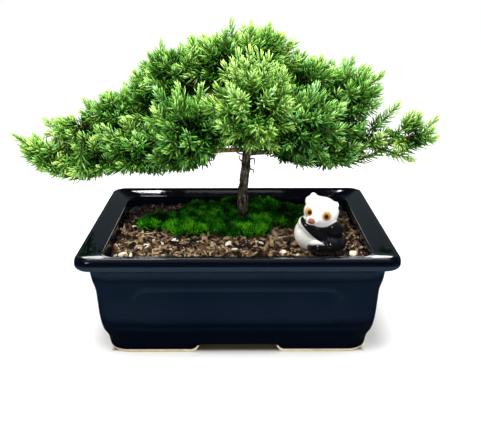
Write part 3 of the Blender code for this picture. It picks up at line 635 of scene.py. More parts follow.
def bark_material(props):
    """Grey-brown juniper bark, dark in its cracks, with reddish flakes."""
    made, tree, shader = new_material("juniper_bark")
    places = object_places(tree)
    stretch = node(tree, "ShaderNodeMapping", {"Vector": places, "Scale": (1.0, 1.0, 0.22)})
    crack_in = {"Vector": stretch.outputs[0], "Scale": 620.0, "Detail": 5.0, "Roughness": 0.65}
    crack = node(tree, "ShaderNodeTexNoise", crack_in)
    patch = node(tree, "ShaderNodeTexNoise", {"Vector": places, "Scale": 130.0, "Detail": 3.0})
    stops = [
        (0.42, tuple(props.bark_dark)),
        (0.50, tuple(props.bark_mid)),
        (0.58, tuple(props.bark_light)),
        (0.67, (0.42, 0.36, 0.28)),
    ]
    bark = ramp(tree, crack.outputs[0], stops)
    red = blend_colours(tree, shares(tree, patch.outputs[0], 0.52, 0.66), bark, (0.11, 0.062, 0.035))
    flakes = blend_colours(tree, 0.45, bark, red)
    height = node(tree, "ShaderNodeSeparateXYZ", {0: places}).outputs[2]
    low, high = (tree_foot()[2] + rise for rise in (3.0, 8.0))
    flakes = blend_colours(tree, shares(tree, height, low * MM, high * MM), (0.006, 0.005, 0.003), flakes)
    young_stops = [(0.40, (0.10, 0.085, 0.02)), (0.60, (0.40, 0.34, 0.09))]
    young = ramp(tree, crack.outputs[0], young_stops)
    sideways = node(tree, "ShaderNodeSeparateXYZ", {0: places}).outputs[0]
    off_centre = -place(trunk_place(37))[0]
    away = node(tree, "ShaderNodeMath", {0: sideways, 1: off_centre}, operation="ADD")
    away = node(tree, "ShaderNodeMath", {0: away.outputs[0]}, operation="ABSOLUTE").outputs[0]
    is_high = shares(tree, height, 0.104, 0.110)
    is_away = shares(tree, away, 0.0065, 0.0095)
    is_young = node(tree, "ShaderNodeMath", {0: is_high, 1: is_away}, operation="MULTIPLY")
    flakes = blend_colours(tree, is_young.outputs[0], flakes, young)
    tree.links.new(flakes, shader.inputs["Base Color"])
    shader.inputs["Roughness"].default_value = 0.88
    bumped(tree, shader, crack.outputs[0], 0.9, 0.0012)
    return made


def foliage_material(props):
    """Needles and twigs by the palette map: lightness across it, partly painted light and shade; up it, three
    bands of hue (cool, plain, warm), each from a needle's foot, in painted shade, to its point, then the
    twigs."""
    made, tree, shader = new_material("juniper_needles")
    _, across, along = palette_places(tree)
    stops = [
        (0.0, (0.001, 0.010, 0.0005)),
        (0.22, tuple(props.needle_dark)),
        (0.50, tuple(props.needle_mid)),
        (0.76, tuple(props.needle_light)),
        (1.0, tuple(props.needle_tip)),
    ]
    green = ramp(tree, across, stops)
    hues = [(0.0, (0.80, 0.97, 1.45)), (0.3, (1.0, 1.0, 1.0)), (0.6, (1.22, 1.05, 0.85))]
    hue = ramp(tree, along, hues, "CONSTANT")
    # painted shade: each needle is dark at its foot, where the needles crowd, and lighter towards its point
    length = maths(tree, "FRACT", maths(tree, "MULTIPLY", along, 1 / 0.3))
    lengths = [
        (0.0, (0.08, 0.13, 0.06)),
        (0.4, (0.75, 0.82, 0.70)),
        (0.8, (1.12, 1.10, 1.05)),
        (1.0, (1.30, 1.25, 1.35)),
    ]
    shade = ramp(tree, length, lengths)
    colour = blend_colours(tree, 1.0, green, hue, "MULTIPLY")
    colour = blend_colours(tree, 1.0, colour, shade, "MULTIPLY")
    stems = [(0.0, (0.03, 0.022, 0.010)), (0.4, (0.05, 0.07, 0.014)), (1.0, (0.14, 0.24, 0.05))]
    is_twig = maths(tree, "GREATER_THAN", along, 0.905)
    colour = blend_colours(tree, is_twig, colour, ramp(tree, across, stems))
    tree.links.new(colour, shader.inputs["Base Color"])
    shader.inputs["Roughness"].default_value = 0.42
    shader.inputs["Specular IOR Level"].default_value = 0.22
    return made


def moss_material(props):
    """Moss by the palette map: lightness across it, and up it from a blade's foot, in painted shade, to its
    point, then the cushion under the blades, painted dark as the shade beneath them."""
    made, tree, shader = new_material("moss_green")
    _, across, along = palette_places(tree)
    stops = [
        (0.0, (0.002, 0.010, 0.001)),
        (0.4, tuple(props.moss_dark)),
        (0.75, tuple(props.moss_mid)),
        (1.0, tuple(props.moss_light)),
    ]
    green = ramp(tree, across, stops)
    # painted shade: a blade's foot is dark, and the cushion under the blades is darkened to a fifth
    lengths = [
        (0.0, (0.15, 0.18, 0.1)),
        (0.5, (0.9, 0.9, 0.8)),
        (0.88, (1.7, 1.5, 1.0)),
        (0.92, (0.2, 0.2, 0.15)),
    ]
    shade = ramp(tree, along, lengths)
    tree.links.new(blend_colours(tree, 1.0, green, shade, "MULTIPLY"), shader.inputs["Base Color"])
    shader.inputs["Roughness"].default_value = 0.8
    shader.inputs["Specular IOR Level"].default_value = 0.1
    return made


def pumice_material():
    """Cream pumice with dark pores."""
    made, tree, shader = new_material("pumice_stone")
    places = object_places(tree)
    pore = node(tree, "ShaderNodeTexVoronoi", {"Vector": places, "Scale": 1400.0})
    pores = shares(tree, pore.outputs["Distance"], 0.12, 0.42)
    mask, _ = mottled(tree, places, 260.0, 1600.0, 0.4)
    stone = blend_colours(tree, mask, (0.50, 0.41, 0.28), (0.88, 0.83, 0.72))
    colour = blend_colours(tree, pores, (0.30, 0.22, 0.14), stone)
    tree.links.new(colour, shader.inputs["Base Color"])
    shader.inputs["Roughness"].default_value = 0.85
    bumped(tree, shader, pores, 0.5, 0.0004)
    return made


def loose_bark_material(props):
    """The larger bark chips, streaked along their length."""
    made, tree, shader = new_material("loose_bark")
    places = object_places(tree)
    stretch = node(tree, "ShaderNodeMapping", {"Vector": places, "Scale": (0.35, 1.0, 1.0)})
    fibre = node(tree, "ShaderNodeTexNoise", {"Vector": stretch.outputs[0], "Scale": 900.0, "Detail": 4.0})
    stops = [(0.35, tuple(props.chip_dark)), (0.5, tuple(props.chip_mid)), (0.66, tuple(props.chip_light))]
    tree.links.new(ramp(tree, fibre.outputs[0], stops), shader.inputs["Base Color"])
    shader.inputs["Roughness"].default_value = 0.85
    bumped(tree, shader, fibre.outputs[0], 0.7, 0.0006)
    return made


# ------------------------------------------------------------------- the pot


def outer_profile():
    """The pot's outside from the ground up: inset from the rim, height, corner radius."""
    lip = POT_HEIGHT - RIM_THICK
    start = FOOT_HEIGHT + 2.5
    reach = lip - start
    foot = BODY_CORNER - 2
    return [
        (BASE_INSET, 0.0, foot),
        (BASE_INSET - 1.2, 0.3 * FOOT_HEIGHT, foot),
        (BASE_INSET - 2.2, 0.8 * FOOT_HEIGHT, foot),
        (BASE_INSET - 2.6, FOOT_HEIGHT + 0.6, foot),
        (BASE_INSET - 4.0, start + 0.3, BODY_CORNER),
        (WAIST_INSET + 5.0, start + 0.05 * reach, BODY_CORNER),
        (WAIST_INSET + 2.6, start + 0.13 * reach, BODY_CORNER),
        (WAIST_INSET + 0.9, start + 0.27 * reach, BODY_CORNER),
        (WAIST_INSET, start + 0.45 * reach, BODY_CORNER),
        (WAIST_INSET - 0.9, start + 0.62 * reach, BODY_CORNER),
        (0.5 * (WAIST_INSET + NECK_INSET) - 1.0, start + 0.76 * reach, BODY_CORNER),
        (NECK_INSET, start + 0.90 * reach, BODY_CORNER - 1),
        (NECK_INSET - 1.0, lip - 2.6, BODY_CORNER - 2),
        (0.5 * NECK_INSET, lip - 0.8, RIM_CORNER + 2),
        (1.6, lip, RIM_CORNER + 1),
        (0.3, lip + 0.22 * RIM_THICK, RIM_CORNER),
        (0.0, lip + 0.50 * RIM_THICK, RIM_CORNER),
        (0.6, lip + 0.80 * RIM_THICK, RIM_CORNER),
        (2.6, POT_HEIGHT, RIM_CORNER - 1),
    ]


def inner_profile():
    """From the rim's top in and down the inside to the floor."""
    top = POT_HEIGHT - RIM_FALL
    low = FOOT_HEIGHT + FLOOR
    reach = top - low
    waist = WAIST_INSET + WALL
    return [
        (5.0, POT_HEIGHT - 0.45, RIM_CORNER - 2),
        (0.6 * RIM_BAND, POT_HEIGHT - 0.55 * RIM_FALL, RIM_CORNER - 1),
        (RIM_BAND - 2.6, top + 0.35, INNER_CORNER),
        (RIM_BAND - 0.9, top - 0.15, INNER_CORNER),
        (RIM_BAND + 0.4, top - 2.0, INNER_CORNER),
        (RIM_BAND + 0.9, low + 0.66 * reach, INNER_CORNER),
        (waist, low + 0.38 * reach, INNER_CORNER),
        (waist + 1.4, low + 0.16 * reach, INNER_CORNER),
        (waist + 4.5, low + 0.03 * reach, INNER_CORNER),
        (waist + 9.0, low, INNER_CORNER),
    ]


def foot_arch(along, gap):
    """Height of the arch between two feet at a distance from the side's middle."""
    out = np.abs(along) - 0.5 * gap
    curve = 0.8 * FOOT_ARCH * (1 - np.sqrt(np.clip(1 - (1 - out / FOOT_END_ROUND) ** 2, 0, 1)))
    return np.where(out < 0, FOOT_ARCH, np.where(out < FOOT_END_ROUND, curve, 0.0))


def side_shares(gap, foot_half):
    """Places along a straight side, as shares of its half, closer at the ends of the feet."""
    inner = 0.5 * gap / foot_half
    outer = (0.5 * gap + FOOT_END_ROUND) / foot_half
    middle = np.linspace(0, inner, 14)
    bend = np.linspace(inner, outer, 9)[1:]
    foot = np.linspace(outer, 1, 20)[1:]
    half = np.concatenate((middle, bend, foot))
    return np.concatenate((-half[:0:-1], half))


def pot_rings(profile, end_share=1.0):
    """Rounded rectangles at each (inset, height, corner radius): quarter circles joined by
    straight sides, anticlockwise seen from above; the two ends take a share of the inset."""
    inset, height, radius = (np.array(column, float)[:, None] for column in zip(*profile))
    insets = (end_share * inset, inset)
    foot_radius = BODY_CORNER - 2
    columns = []
    for quarter in range(4):
        axis = quarter % 2  # the way of the side that follows this corner
        start = math.pi / 2 * quarter
        angle = start + math.pi / 2 * np.linspace(0, 1, 14)[None, :]
        sx = 1 if quarter in (0, 3) else -1
        sy = 1 if quarter in (0, 1) else -1
        x = sx * (POT_HALF[0] - insets[0] - radius) + radius * np.cos(angle)
        y = sy * (POT_HALF[1] - insets[1] - radius) + radius * np.sin(angle)
        columns.append(np.stack((x, y), -1))
        foot_half = POT_HALF[axis] - WALL_LEAN[axis] * BASE_INSET - foot_radius
        part = side_shares(FOOT_GAP[axis], foot_half)[1:-1][None, :]
        along = part * (POT_HALF[axis] - insets[axis] - radius)
        out = (POT_HALF[1 - axis] - insets[1 - axis]) * np.ones_like(along)
        sides = ((-along, out), (-out, -along), (along, -out), (out, along))
        columns.append(np.stack(sides[quarter], -1))
    plan = np.concatenate(columns, 1)
    tall = np.broadcast_to(height[..., None], (*plan.shape[:2], 1))
    return np.concatenate((plan, tall), -1)


def raise_panels(rings, lift):
    """Move each wall out by `lift` inside a rectangle with round corners on it."""
    z = rings[..., 2]
    for axis in (0, 1):
        along = rings[..., axis]
        across = rings[..., 1 - axis]
        edge = POT_HALF[1 - axis] - WALL_LEAN[1 - axis] * BASE_INSET
        middle = 0.5 * (PANEL_LOW + PANEL_TOP)
        dx = np.maximum(np.abs(along) - (PANEL_HALF[axis] - PANEL_CORNER), 0)
        dz = np.maximum(np.abs(z - middle) - (0.5 * (PANEL_TOP - PANEL_LOW) - PANEL_CORNER), 0)
        inside = PANEL_CORNER - np.hypot(dx, dz)
        on_wall = np.abs(across) > edge
        rings[..., 1 - axis] += np.sign(across) * lift * smooth_step(inside, 0.0, 1.8) * on_wall
    return rings


def build_pot(props, finish):
    """The pot from its foot to its floor as one set of rings, with arches and drains."""
    outline = outer_profile()
    outer = smooth_line(outline, 5)
    top = smooth_line([outline[-2], outline[-1]] + inner_profile(), 4)[4:]
    outside = raise_panels(pot_rings(outer[:-1], END_SHARE), props.panel_lift / MM)
    under = [
        (FOOT_WIDTH + 6, FOOT_HEIGHT, BODY_CORNER - 8),
        (FOOT_WIDTH + 0.6, FOOT_HEIGHT, BODY_CORNER - 6),
        (FOOT_WIDTH, FOOT_HEIGHT - 0.6, BODY_CORNER - 6),
        (FOOT_WIDTH - 0.3, 0.5 * FOOT_HEIGHT, BODY_CORNER - 6),
        (FOOT_WIDTH - 0.6, 0.6, BODY_CORNER - 6),
        (FOOT_WIDTH - 1.2, 0.0, BODY_CORNER - 5),
        (1.0, 0.0, BODY_CORNER - 2),
        (0.3, 0.2, BODY_CORNER - 2),
    ]
    recess = pot_rings([(BASE_INSET + inset, z, corner) for inset, z, corner in under])
    wider = (1 - END_SHARE) * BASE_INSET
    reach = np.minimum(1, np.abs(recess[..., 0]) / (POT_HALF[0] - 48))
    recess[..., 0] += np.sign(recess[..., 0]) * wider * reach
    rings = np.concatenate((recess, outside[1:], pot_rings(top)), 0)
    low = rings[..., 2] < FOOT_HEIGHT - 0.5
    front_arch = foot_arch(rings[..., 0], FOOT_GAP[0]) * (np.abs(rings[..., 1]) > 34)
    side_arch = foot_arch(rings[..., 1], FOOT_GAP[1]) * (np.abs(rings[..., 0]) > 60)
    arch = np.maximum(front_arch, side_arch)
    rings[..., 2] = np.where(low, np.maximum(rings[..., 2], arch), rings[..., 2])
    rows, columns = rings.shape[:2]
    points, fans = close_ends(rings.reshape(-1, 3), rows, columns)
    pot = make_piece("pot_glazed", points, [ring_faces(rows, columns)] + fans, finish, ["pot"], "glaze")
    cut_drains(pot)
    store_glaze_facts(pot)
    pot.data.shade_smooth()
    pot.data.set_sharp_from_angle(angle=math.radians(38))


def cut_drains(pot):
    """Two round holes through the floor."""
    angle = TURN * np.arange(40) / 40
    parts = []
    for side in (-1, 1):
        rings = []
        for radius, z in ((0.5 * DRAIN_HOLE, FOOT_HEIGHT - 3), (0.5 * DRAIN_HOLE, FOOT_HEIGHT + FLOOR + 3)):
            x = side * 0.5 * DRAIN_SPACING + radius * np.cos(angle)
            rings.append(np.stack((x, radius * np.sin(angle), np.full(40, z)), -1))
        points, fans = close_ends(np.concatenate(rings), 2, 40)
        parts.append((points, [ring_faces(2, 40)] + fans, np.zeros((len(points), 2))))
    points, faces, _ = join_parts(parts)
    tool = make_piece("drain_tool", points, faces, pot.data.materials[0])
    cut = pot.modifiers.new("drains", "BOOLEAN")
    cut.operation = "DIFFERENCE"
    cut.solver = "EXACT"
    cut.object = tool
    keep_modified(pot)
    bpy.data.objects.remove(tool, do_unlink=True)


def keep_modified(piece):
    """Replace a piece's mesh with what its modifiers make of it."""
    depsgraph = bpy.context.evaluated_depsgraph_get()
    mesh = bpy.data.meshes.new_from_object(piece.evaluated_get(depsgraph))
    piece.modifiers.clear()
    old = piece.data
    piece.data = mesh
    bpy.data.meshes.remove(old)


def vertex_places(piece):
    """Every vertex in millimetres round the pot."""
    flat = np.empty(len(piece.data.vertices) * 3, np.float32)
    piece.data.vertices.foreach_get("co", flat)
    return flat.reshape(-1, 3) / MM - POT_MIDDLE


def store_value(piece, name, values):
    attribute = piece.data.attributes.new(name, "FLOAT", "POINT")
    attribute.data.foreach_set("value", np.asarray(values, np.float32))


def inside_corner_box(x, y, half_x, half_y, corner):
    """Distance inside a rectangle with round corners; negative outside it."""
    dx = np.abs(x) - (half_x - corner)
    dy = np.abs(y) - (half_y - corner)
    round_part = np.hypot(np.maximum(dx, 0), np.maximum(dy, 0))
    return corner - round_part - np.minimum(np.maximum(dx, dy), 0)


def store_glaze_facts(pot):
    """At every vertex: the painted reflection and thin glaze, the painted shade, and the height above the
    foot.
    """
    x, y, z = vertex_places(pot).T
    inset = np.minimum(POT_HALF[0] - np.abs(x), POT_HALF[1] - np.abs(y))
    lip = POT_HEIGHT - RIM_THICK
    # painted reflection: the lip's lower edge and the neck are paler; the panel line is paler glaze at the
    # panel's upper edge
    lip_edge = smooth_step(z, lip - 0.4, lip + 0.6) * (1 - smooth_step(z, lip + 3.0, lip + 4.2)) * (inset < 4)
    neck = smooth_step(z, 60.5, 63.0) * (1 - smooth_step(z, 65.0, 67.0)) * (inset > 4)
    middle = 0.5 * (PANEL_LOW + PANEL_TOP)
    tall = 0.5 * (PANEL_TOP - PANEL_LOW)
    front = inside_corner_box(x, z - middle, PANEL_HALF[0], tall, PANEL_CORNER)
    side = inside_corner_box(y, z - middle, PANEL_HALF[1], tall, PANEL_CORNER)
    on_front = POT_HALF[1] - np.abs(y) < POT_HALF[0] - np.abs(x)
    panel = np.where(on_front, front, side)
    line = np.exp(-(((panel - 1.4) / 1.0) ** 2)) * smooth_step(z, 34, PANEL_TOP) * (inset < 20)
    store_value(pot, "sheen_and_thin_glaze", np.clip(0.9 * lip_edge + 0.42 * neck + 0.40 * line, 0, 1))
    # painted shade: the rim top, the low body (less so along the panel's low edge) and two grooves, at z 67.3
    # and 58.6
    rim = smooth_step(z, lip + 3.0, lip + 4.2)
    low = smooth_step(-z, -31, -25) * (1 - 0.55 * np.exp(-(((z - 22) / 1.6) ** 2)))
    groove = np.exp(-(((z - 67.3) / 1.3) ** 2)) + 0.7 * np.exp(-(((z - 58.6) / 1.0) ** 2))
    store_value(pot, "painted_shade_glaze", np.clip(0.92 * rim + 0.85 * low + 0.8 * groove, 0, 0.95))
    front_arch = foot_arch(x, FOOT_GAP[0]) * (np.abs(y) > 34)
    side_arch = foot_arch(y, FOOT_GAP[1]) * (np.abs(x) > 60)
    arch = np.maximum(front_arch, side_arch)
    above = np.where(arch > FOOT_ARCH - 0.5, 4.0, z - arch)
    half_x = POT_HALF[0] - END_SHARE * BASE_INSET - 0.5
    deep = inside_corner_box(x, y, half_x, POT_HALF[1] - BASE_INSET - 0.5, BODY_CORNER - 2) > 0.6
    store_value(pot, "above_foot", np.where(deep & (z < FOOT_HEIGHT + 0.5), -2.0, above))


# ------------------------------------------------------------------ the soil


def scattered_blocks(random, middles, half, tilt):
    """Rough six-sided blocks: corners at plus and minus each half size, pushed about at
    random, pinched to the ends, then turned by a heading, a tilt and a roll."""
    count = len(middles)
    corners = np.array([(x, y, z) for x in (-1, 1) for y, z in ((-1, -1), (1, -1), (1, 1), (-1, 1))], float)
    shape = corners[None] * half[:, None, :]
    shape = shape + random.uniform(-0.38, 0.38, (count, 8, 3)) * half[:, None, :]
    shape[..., 1:] *= random.uniform(0.35, 1.0, (count, 8, 1))
    heading = random.uniform(0, TURN, count)
    rise = random.normal(0, tilt, count)
    roll = random.uniform(0, TURN, count)
    cr, sr = np.cos(roll)[:, None], np.sin(roll)[:, None]
    x, y, z = shape[..., 0], shape[..., 1], shape[..., 2]
    y, z = y * cr - z * sr, y * sr + z * cr
    cp, sp = np.cos(rise)[:, None], np.sin(rise)[:, None]
    x, z = x * cp - z * sp, x * sp + z * cp
    ch, sh = np.cos(heading)[:, None], np.sin(heading)[:, None]
    x, y = x * ch - y * sh, x * sh + y * ch
    points = np.stack((x, y, z), -1) + middles[:, None]
    quads = np.array([(0, 3, 2, 1), (4, 5, 6, 7), (0, 1, 5, 4), (1, 2, 6, 5), (2, 3, 7, 6), (3, 0, 4, 7)])
    faces = (quads[None] + 8 * np.arange(count)[:, None, None]).reshape(-1, 4)
    return points.reshape(-1, 3), [faces]


def build_soil(props, earth, chips):
    """The bed of earth that fills the pot, and the loose bark chips on it."""
    random = np.random.default_rng(31)
    rows, columns = 34, 160
    part = np.linspace(1.0, 0.0, rows)[:, None]
    angle = TURN * np.arange(columns)[None, :] / columns
    power = 0.16  # a squircle that fills the pot's corners
    px = part * SOIL_HALF[0] * np.sign(np.cos(angle)) * np.abs(np.cos(angle)) ** (2 * power)
    py = part * SOIL_HALF[1] * np.sign(np.sin(angle)) * np.abs(np.sin(angle)) ** (2 * power)
    pz = soil_top(px, py) - 1.2
    spots = np.stack((px, py, pz), -1)
    spots[..., 2] += 0.7 * ripple(spots, 7.0, 3)
    skirt = spots[:1].copy()
    skirt[..., :2] *= 0.96
    skirt[..., 2] = SOIL_EDGE - 12
    rings = np.concatenate((skirt, spots[:-1]), 0)
    points, fans = close_ends(rings.reshape(-1, 3), rows, columns)
    make_piece("soil_bed", points, [ring_faces(rows, columns)] + fans, earth, ["soil"], "soil")
    count = props.chip_count
    reach = np.array(SOIL_HALF) - 1.5
    spots = random.uniform(-1, 1, (count, 2)) * reach
    small = random.random(count) < 0.42
    length = np.where(small, random.uniform(0.6, 1.3, count), random.gamma(4.0, 0.40, count) + 0.6)
    width = length * random.uniform(0.2, 0.5, count)
    thickness = length * random.uniform(0.16, 0.4, count)
    half = np.stack((length, width, thickness), -1)
    height = soil_top(*spots.T) + random.uniform(-1.4, 0.7, count)
    middles = np.column_stack((spots, height))
    points, faces = scattered_blocks(random, middles, half, 0.36)
    points[:, 0] = np.clip(points[:, 0], -SOIL_HALF[0], SOIL_HALF[0])
    points[:, 1] = np.clip(points[:, 1], -SOIL_HALF[1], SOIL_HALF[1])
    shade = np.clip(random.beta(1.1, 1.3, count), 0.0, 0.9)
    shade = np.where(random.random(count) < 0.035, random.uniform(0.93, 1.0, count), shade)
    # painted shade: every chip is darker towards the back of the pot
    shade = np.clip(shade - 0.20 * smooth_step(spots[:, 1], -30, 40), 0, 1)
    start = random.uniform(0, 0.7, count)
    along = start[:, None] + np.array((0, 0, 0, 0, 1, 1, 1, 1))[None] * 0.28
    across = shade[:, None] + np.tile((0.0, 0.012, 0.02, 0.008), 2)[None]
    uv = np.stack((np.clip(across, 0, 1), along), -1).reshape(-1, 2)
    make_piece("soil_bark_layer", points, faces, chips, ["soil"], "soil", uv, smooth=False)


def build_stones(pumice, bark):
    """Each large pebble and chip: the nearest of several flat sides in every direction,
    r = least of h / (n . d), softened by a little noise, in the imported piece's box."""
    random = np.random.default_rng(5)
    names = sorted(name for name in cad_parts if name.startswith(("pumice_", "bark_chip_")))
    rows, columns = 26, 40
    fall = math.pi * (np.arange(1, rows + 1) / (rows + 1))[:, None]
    round_ = TURN * np.arange(columns)[None, :] / columns
    tall = np.cos(fall) * np.ones_like(round_)
    rays = np.stack((np.sin(fall) * np.cos(round_), np.sin(fall) * np.sin(round_), -tall), -1)
    for name in names:
        low, high = (np.array(corner) / MM - POT_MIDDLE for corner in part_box(name))
        is_bark = name.startswith("bark")
        sides = unit(random.normal(size=(22, 3)))
        reach = random.uniform(0.72, 1.0, 22)
        facing = np.maximum(rays @ sides.T, 1e-3)
        radius = np.minimum((reach / facing).min(-1), 1.05)
        radius = radius * (1 + 0.05 * ripple(rays, 0.7, 40 + len(name)) + 0.02 * ripple(rays, 0.2, 50))
        half = 0.5 * (high - low)
        half = half * (1.1, 1.1, 1.0) + (0, 0, 0.8)
        points = (0.5 * (high + low) - (0, 0, 0.8)) + radius[..., None] * rays * half
        points, fans = close_ends(points.reshape(-1, 3), rows, columns)
        faces = [ring_faces(rows, columns)] + fans
        finish, slot = (bark, "chip") if is_bark else (pumice, "pumice")
        label = name.replace("pumice", "pumice_pebble").replace("bark_chip", "loose_bark_chip")
        made = make_piece(label, points, faces, finish, [name], slot)
        made.data.set_sharp_from_angle(angle=math.radians(50))


# ------------------------------------------------------- needles and blades


def spikes(foot, axis, inner, length, width, bend):
    """Slim three-sided needles: a point at the foot, a triangle (two edges and a keel) at
    28% and at 68% of the length, and a point at the tip, curved towards `inner`."""
    side = np.cross(axis, inner)
    spots, thick = (0.28, 0.68), (1.0, 0.80)
    keel = 0.55

    def middle(share):
        return foot + axis * (length * share)[:, None] + inner * (bend * length * share**2)[:, None]

    rows = [middle(np.zeros(len(foot)))]
    for spot, size in zip(spots, thick):
        at = middle(np.full(len(foot), spot))
        half = (0.5 * width * size)[:, None]
        rows += [at - side * half, at + side * half, at - inner * half * keel * 2]
    rows.append(middle(np.ones(len(foot))))
    points = np.stack(rows, 1)
    triangles = np.array([(0, 2, 1), (0, 3, 2), (0, 1, 3), (4, 5, 7), (5, 6, 7), (6, 4, 7)])
    quads = np.array([(1, 2, 5, 4), (2, 3, 6, 5), (3, 1, 4, 6)])
    shift = 8 * np.arange(len(foot))[:, None, None]
    faces = [(quads[None] + shift).reshape(-1, 4), (triangles[None] + shift).reshape(-1, 3)]
    return points.reshape(-1, 3), faces


SPIKE_ALONG = np.array((0.0, 0.28, 0.28, 0.28, 0.68, 0.68, 0.68, 1.0))
SPIKE_ACROSS = np.array((0.0, 0.010, -0.010, 0.0, 0.010, -0.010, 0.0, 0.0))


def bezier(p0, p1, p2, p3, t):
    """Places and headings along cubic curves, for every curve and every t."""
    t = t[..., None]
    s = 1 - t
    a, b, c, d = (p[:, None] for p in (p0, p1, p2, p3))
    spot = s**3 * a + 3 * s * s * t * b + 3 * s * t * t * c + t**3 * d
    heading = 3 * s * s * (b - a) + 6 * s * t * (c - b) + 3 * t * t * (d - c)
    return spot, unit(heading)


def clothed_shoots(random, curves, light, warm, props, whorls, bare=0.18):
    """Shoots with needles in threes: at each whorl three needles stand round the stem,
    every second whorl turned by a sixth, leaning forward more towards the tip."""
    p0, p1, p2, p3 = curves
    count = len(p0)
    length = np.linalg.norm(p3 - p0, axis=1)
    steps = np.linspace(bare, 1.0, whorls)[None, :] + random.normal(0, 0.006, (count, whorls))
    spot, along = bezier(p0, p1, p2, p3, np.clip(steps, 0, 1))
    helper = unit(random.normal(size=(count, 3)))[:, None]
    side = unit(np.cross(along, helper))
    other = np.cross(along, side)
    turn = random.uniform(0, TURN, (count, 1, 1)) + (TURN / 6) * np.arange(whorls)[None, :, None]
    turn = turn + (TURN / 3) * np.arange(3)[None, None, :] + random.normal(0, 0.16, (count, whorls, 3))
    out = np.cos(turn)[..., None] * side[:, :, None] + np.sin(turn)[..., None] * other[:, :, None]
    share = np.linspace(0, 1, whorls)[None, :, None]
    lean = np.radians(62 - 20 * share - 30 * smooth_step(share, 0.72, 1.0))
    lean = lean + random.normal(0, 0.12, turn.shape)
    forward = along[:, :, None] * np.ones(3)[None, None, :, None]
    axis = np.cos(lean)[..., None] * forward + np.sin(lean)[..., None] * out
    inner = unit(forward * np.sin(lean)[..., None] - out * np.cos(lean)[..., None])
    shorter = (1 - 0.30 * smooth_step(share, 0.75, 1.0)) * (0.86 + 0.14 * smooth_step(share, 0, 0.3))
    size = props.needle_length / MM * shorter * random.uniform(0.82, 1.12, turn.shape)
    width = props.needle_width / MM * random.uniform(0.85, 1.15, turn.shape)
    foot = spot[:, :, None] + 0.3 * out
    bend = random.uniform(0.02, 0.16, turn.size)
    foot, axis, inner = (values.reshape(-1, 3) for values in (foot, axis, inner))
    points, faces = spikes(foot, axis, inner, size.ravel(), width.ravel(), bend)
    # painted shade and fresh growth: needles darker at the shoot's base, lighter towards its tip
    tone = light[:, None, None] - 0.36 + 0.54 * share + 0.12 * smooth_step(share, 0.8, 1.0)
    tone = np.clip(tone + random.normal(0, 0.11, turn.shape), 0.03, 0.97).ravel()
    hue = np.clip(np.round(1 + warm[:, None, None] + random.normal(0, 0.42, turn.shape)), 0, 2).ravel()
    across = tone[:, None] + SPIKE_ACROSS[None]
    up = 0.3 * (hue[:, None] + 0.02 + 0.95 * SPIKE_ALONG[None])
    uv = np.stack((across, up), -1).reshape(-1, 2)
    stems = twig_tubes(curves, length, light)
    return join_parts([(points, faces, uv), stems])


def twig_tubes(curves, length, light, thick=0.85, thin=0.42, rings=7, sides=5):
    """Thin tapering stems along the same curves, closed by a point at each end."""
    p0 = curves[0]
    count = len(p0)
    t = np.linspace(0, 1, rings)
    spot, along = bezier(*curves, np.broadcast_to(t, (count, rings)))
    helper = np.broadcast_to(np.array((0.31, 0.53, 0.79)), along.shape)
    side = unit(np.cross(along, helper))
    other = np.cross(along, side)
    angle = TURN * np.arange(sides) / sides
    radius = np.linspace(thick, thin, rings)[None, :, None, None]
    cos, sin = (values[None, None, :, None] for values in (np.cos(angle), np.sin(angle)))
    wheel = cos * side[:, :, None] + sin * other[:, :, None]
    tube = (spot[:, :, None] + radius * wheel).reshape(count, rings * sides, 3)
    ends = np.stack((spot[:, 0] - along[:, 0] * 0.3, spot[:, -1] + along[:, -1] * 0.8), 1)
    points = np.concatenate((tube, ends), 1)
    each = rings * sides + 2
    quads = ring_faces(rings, sides)
    j = np.arange(sides)
    k = (j + 1) % sides
    last = (rings - 1) * sides
    fans = np.vstack((
        np.stack((np.full(sides, rings * sides), k, j), -1),
        np.stack((last + j, last + k, np.full(sides, rings * sides + 1)), -1),
    ))
    shift = each * np.arange(count)[:, None, None]
    faces = [(quads[None] + shift).reshape(-1, 4), (fans[None] + shift).reshape(-1, 3)]
    across = np.concatenate((np.repeat(t, sides), (0.0, 1.0)))
    around = np.concatenate((np.tile(j / sides, rings), (0.0, 0.0)))
    uv = np.stack((0.02 + 0.94 * across, 0.925 + 0.06 * around), -1)
    uv = np.broadcast_to(uv, (count, each, 2)).reshape(-1, 2)
    return points.reshape(-1, 3), faces, uv


# ------------------------------------------------------------------ the tree


def tree_foot():
    return np.array((*TRUNK_SPOT, float(soil_top(*TRUNK_SPOT))))


def trunk_line(steps=24):
    points = [tree_foot() + (x, y, rise * TREE_HEIGHT / 100) for x, y, rise in TRUNK_LINE]
    return smooth_line(points, steps)


def trunk_radius(z):
    """A steady taper, with a flare that fades within a few millimetres of the soil."""
    foot = tree_foot()[2]
    top = foot + TRUNK_LINE[-1][2] * TREE_HEIGHT / 100
    share = np.clip((z - foot) / (top - foot), 0, 1)
    flare = 0.5 * np.exp(-np.maximum(0.0, z - foot) / 6.0)
    return 0.43 * (TRUNK_DIAMETER + (TRUNK_TOP_DIAMETER - TRUNK_DIAMETER) * share) + flare


def trunk_place(rise):
    line = trunk_line()
    z = tree_foot()[2] + rise * TREE_HEIGHT / 100
    return np.array((np.interp(z, line[:, 2], line[:, 0]), np.interp(z, line[:, 2], line[:, 1]), z))


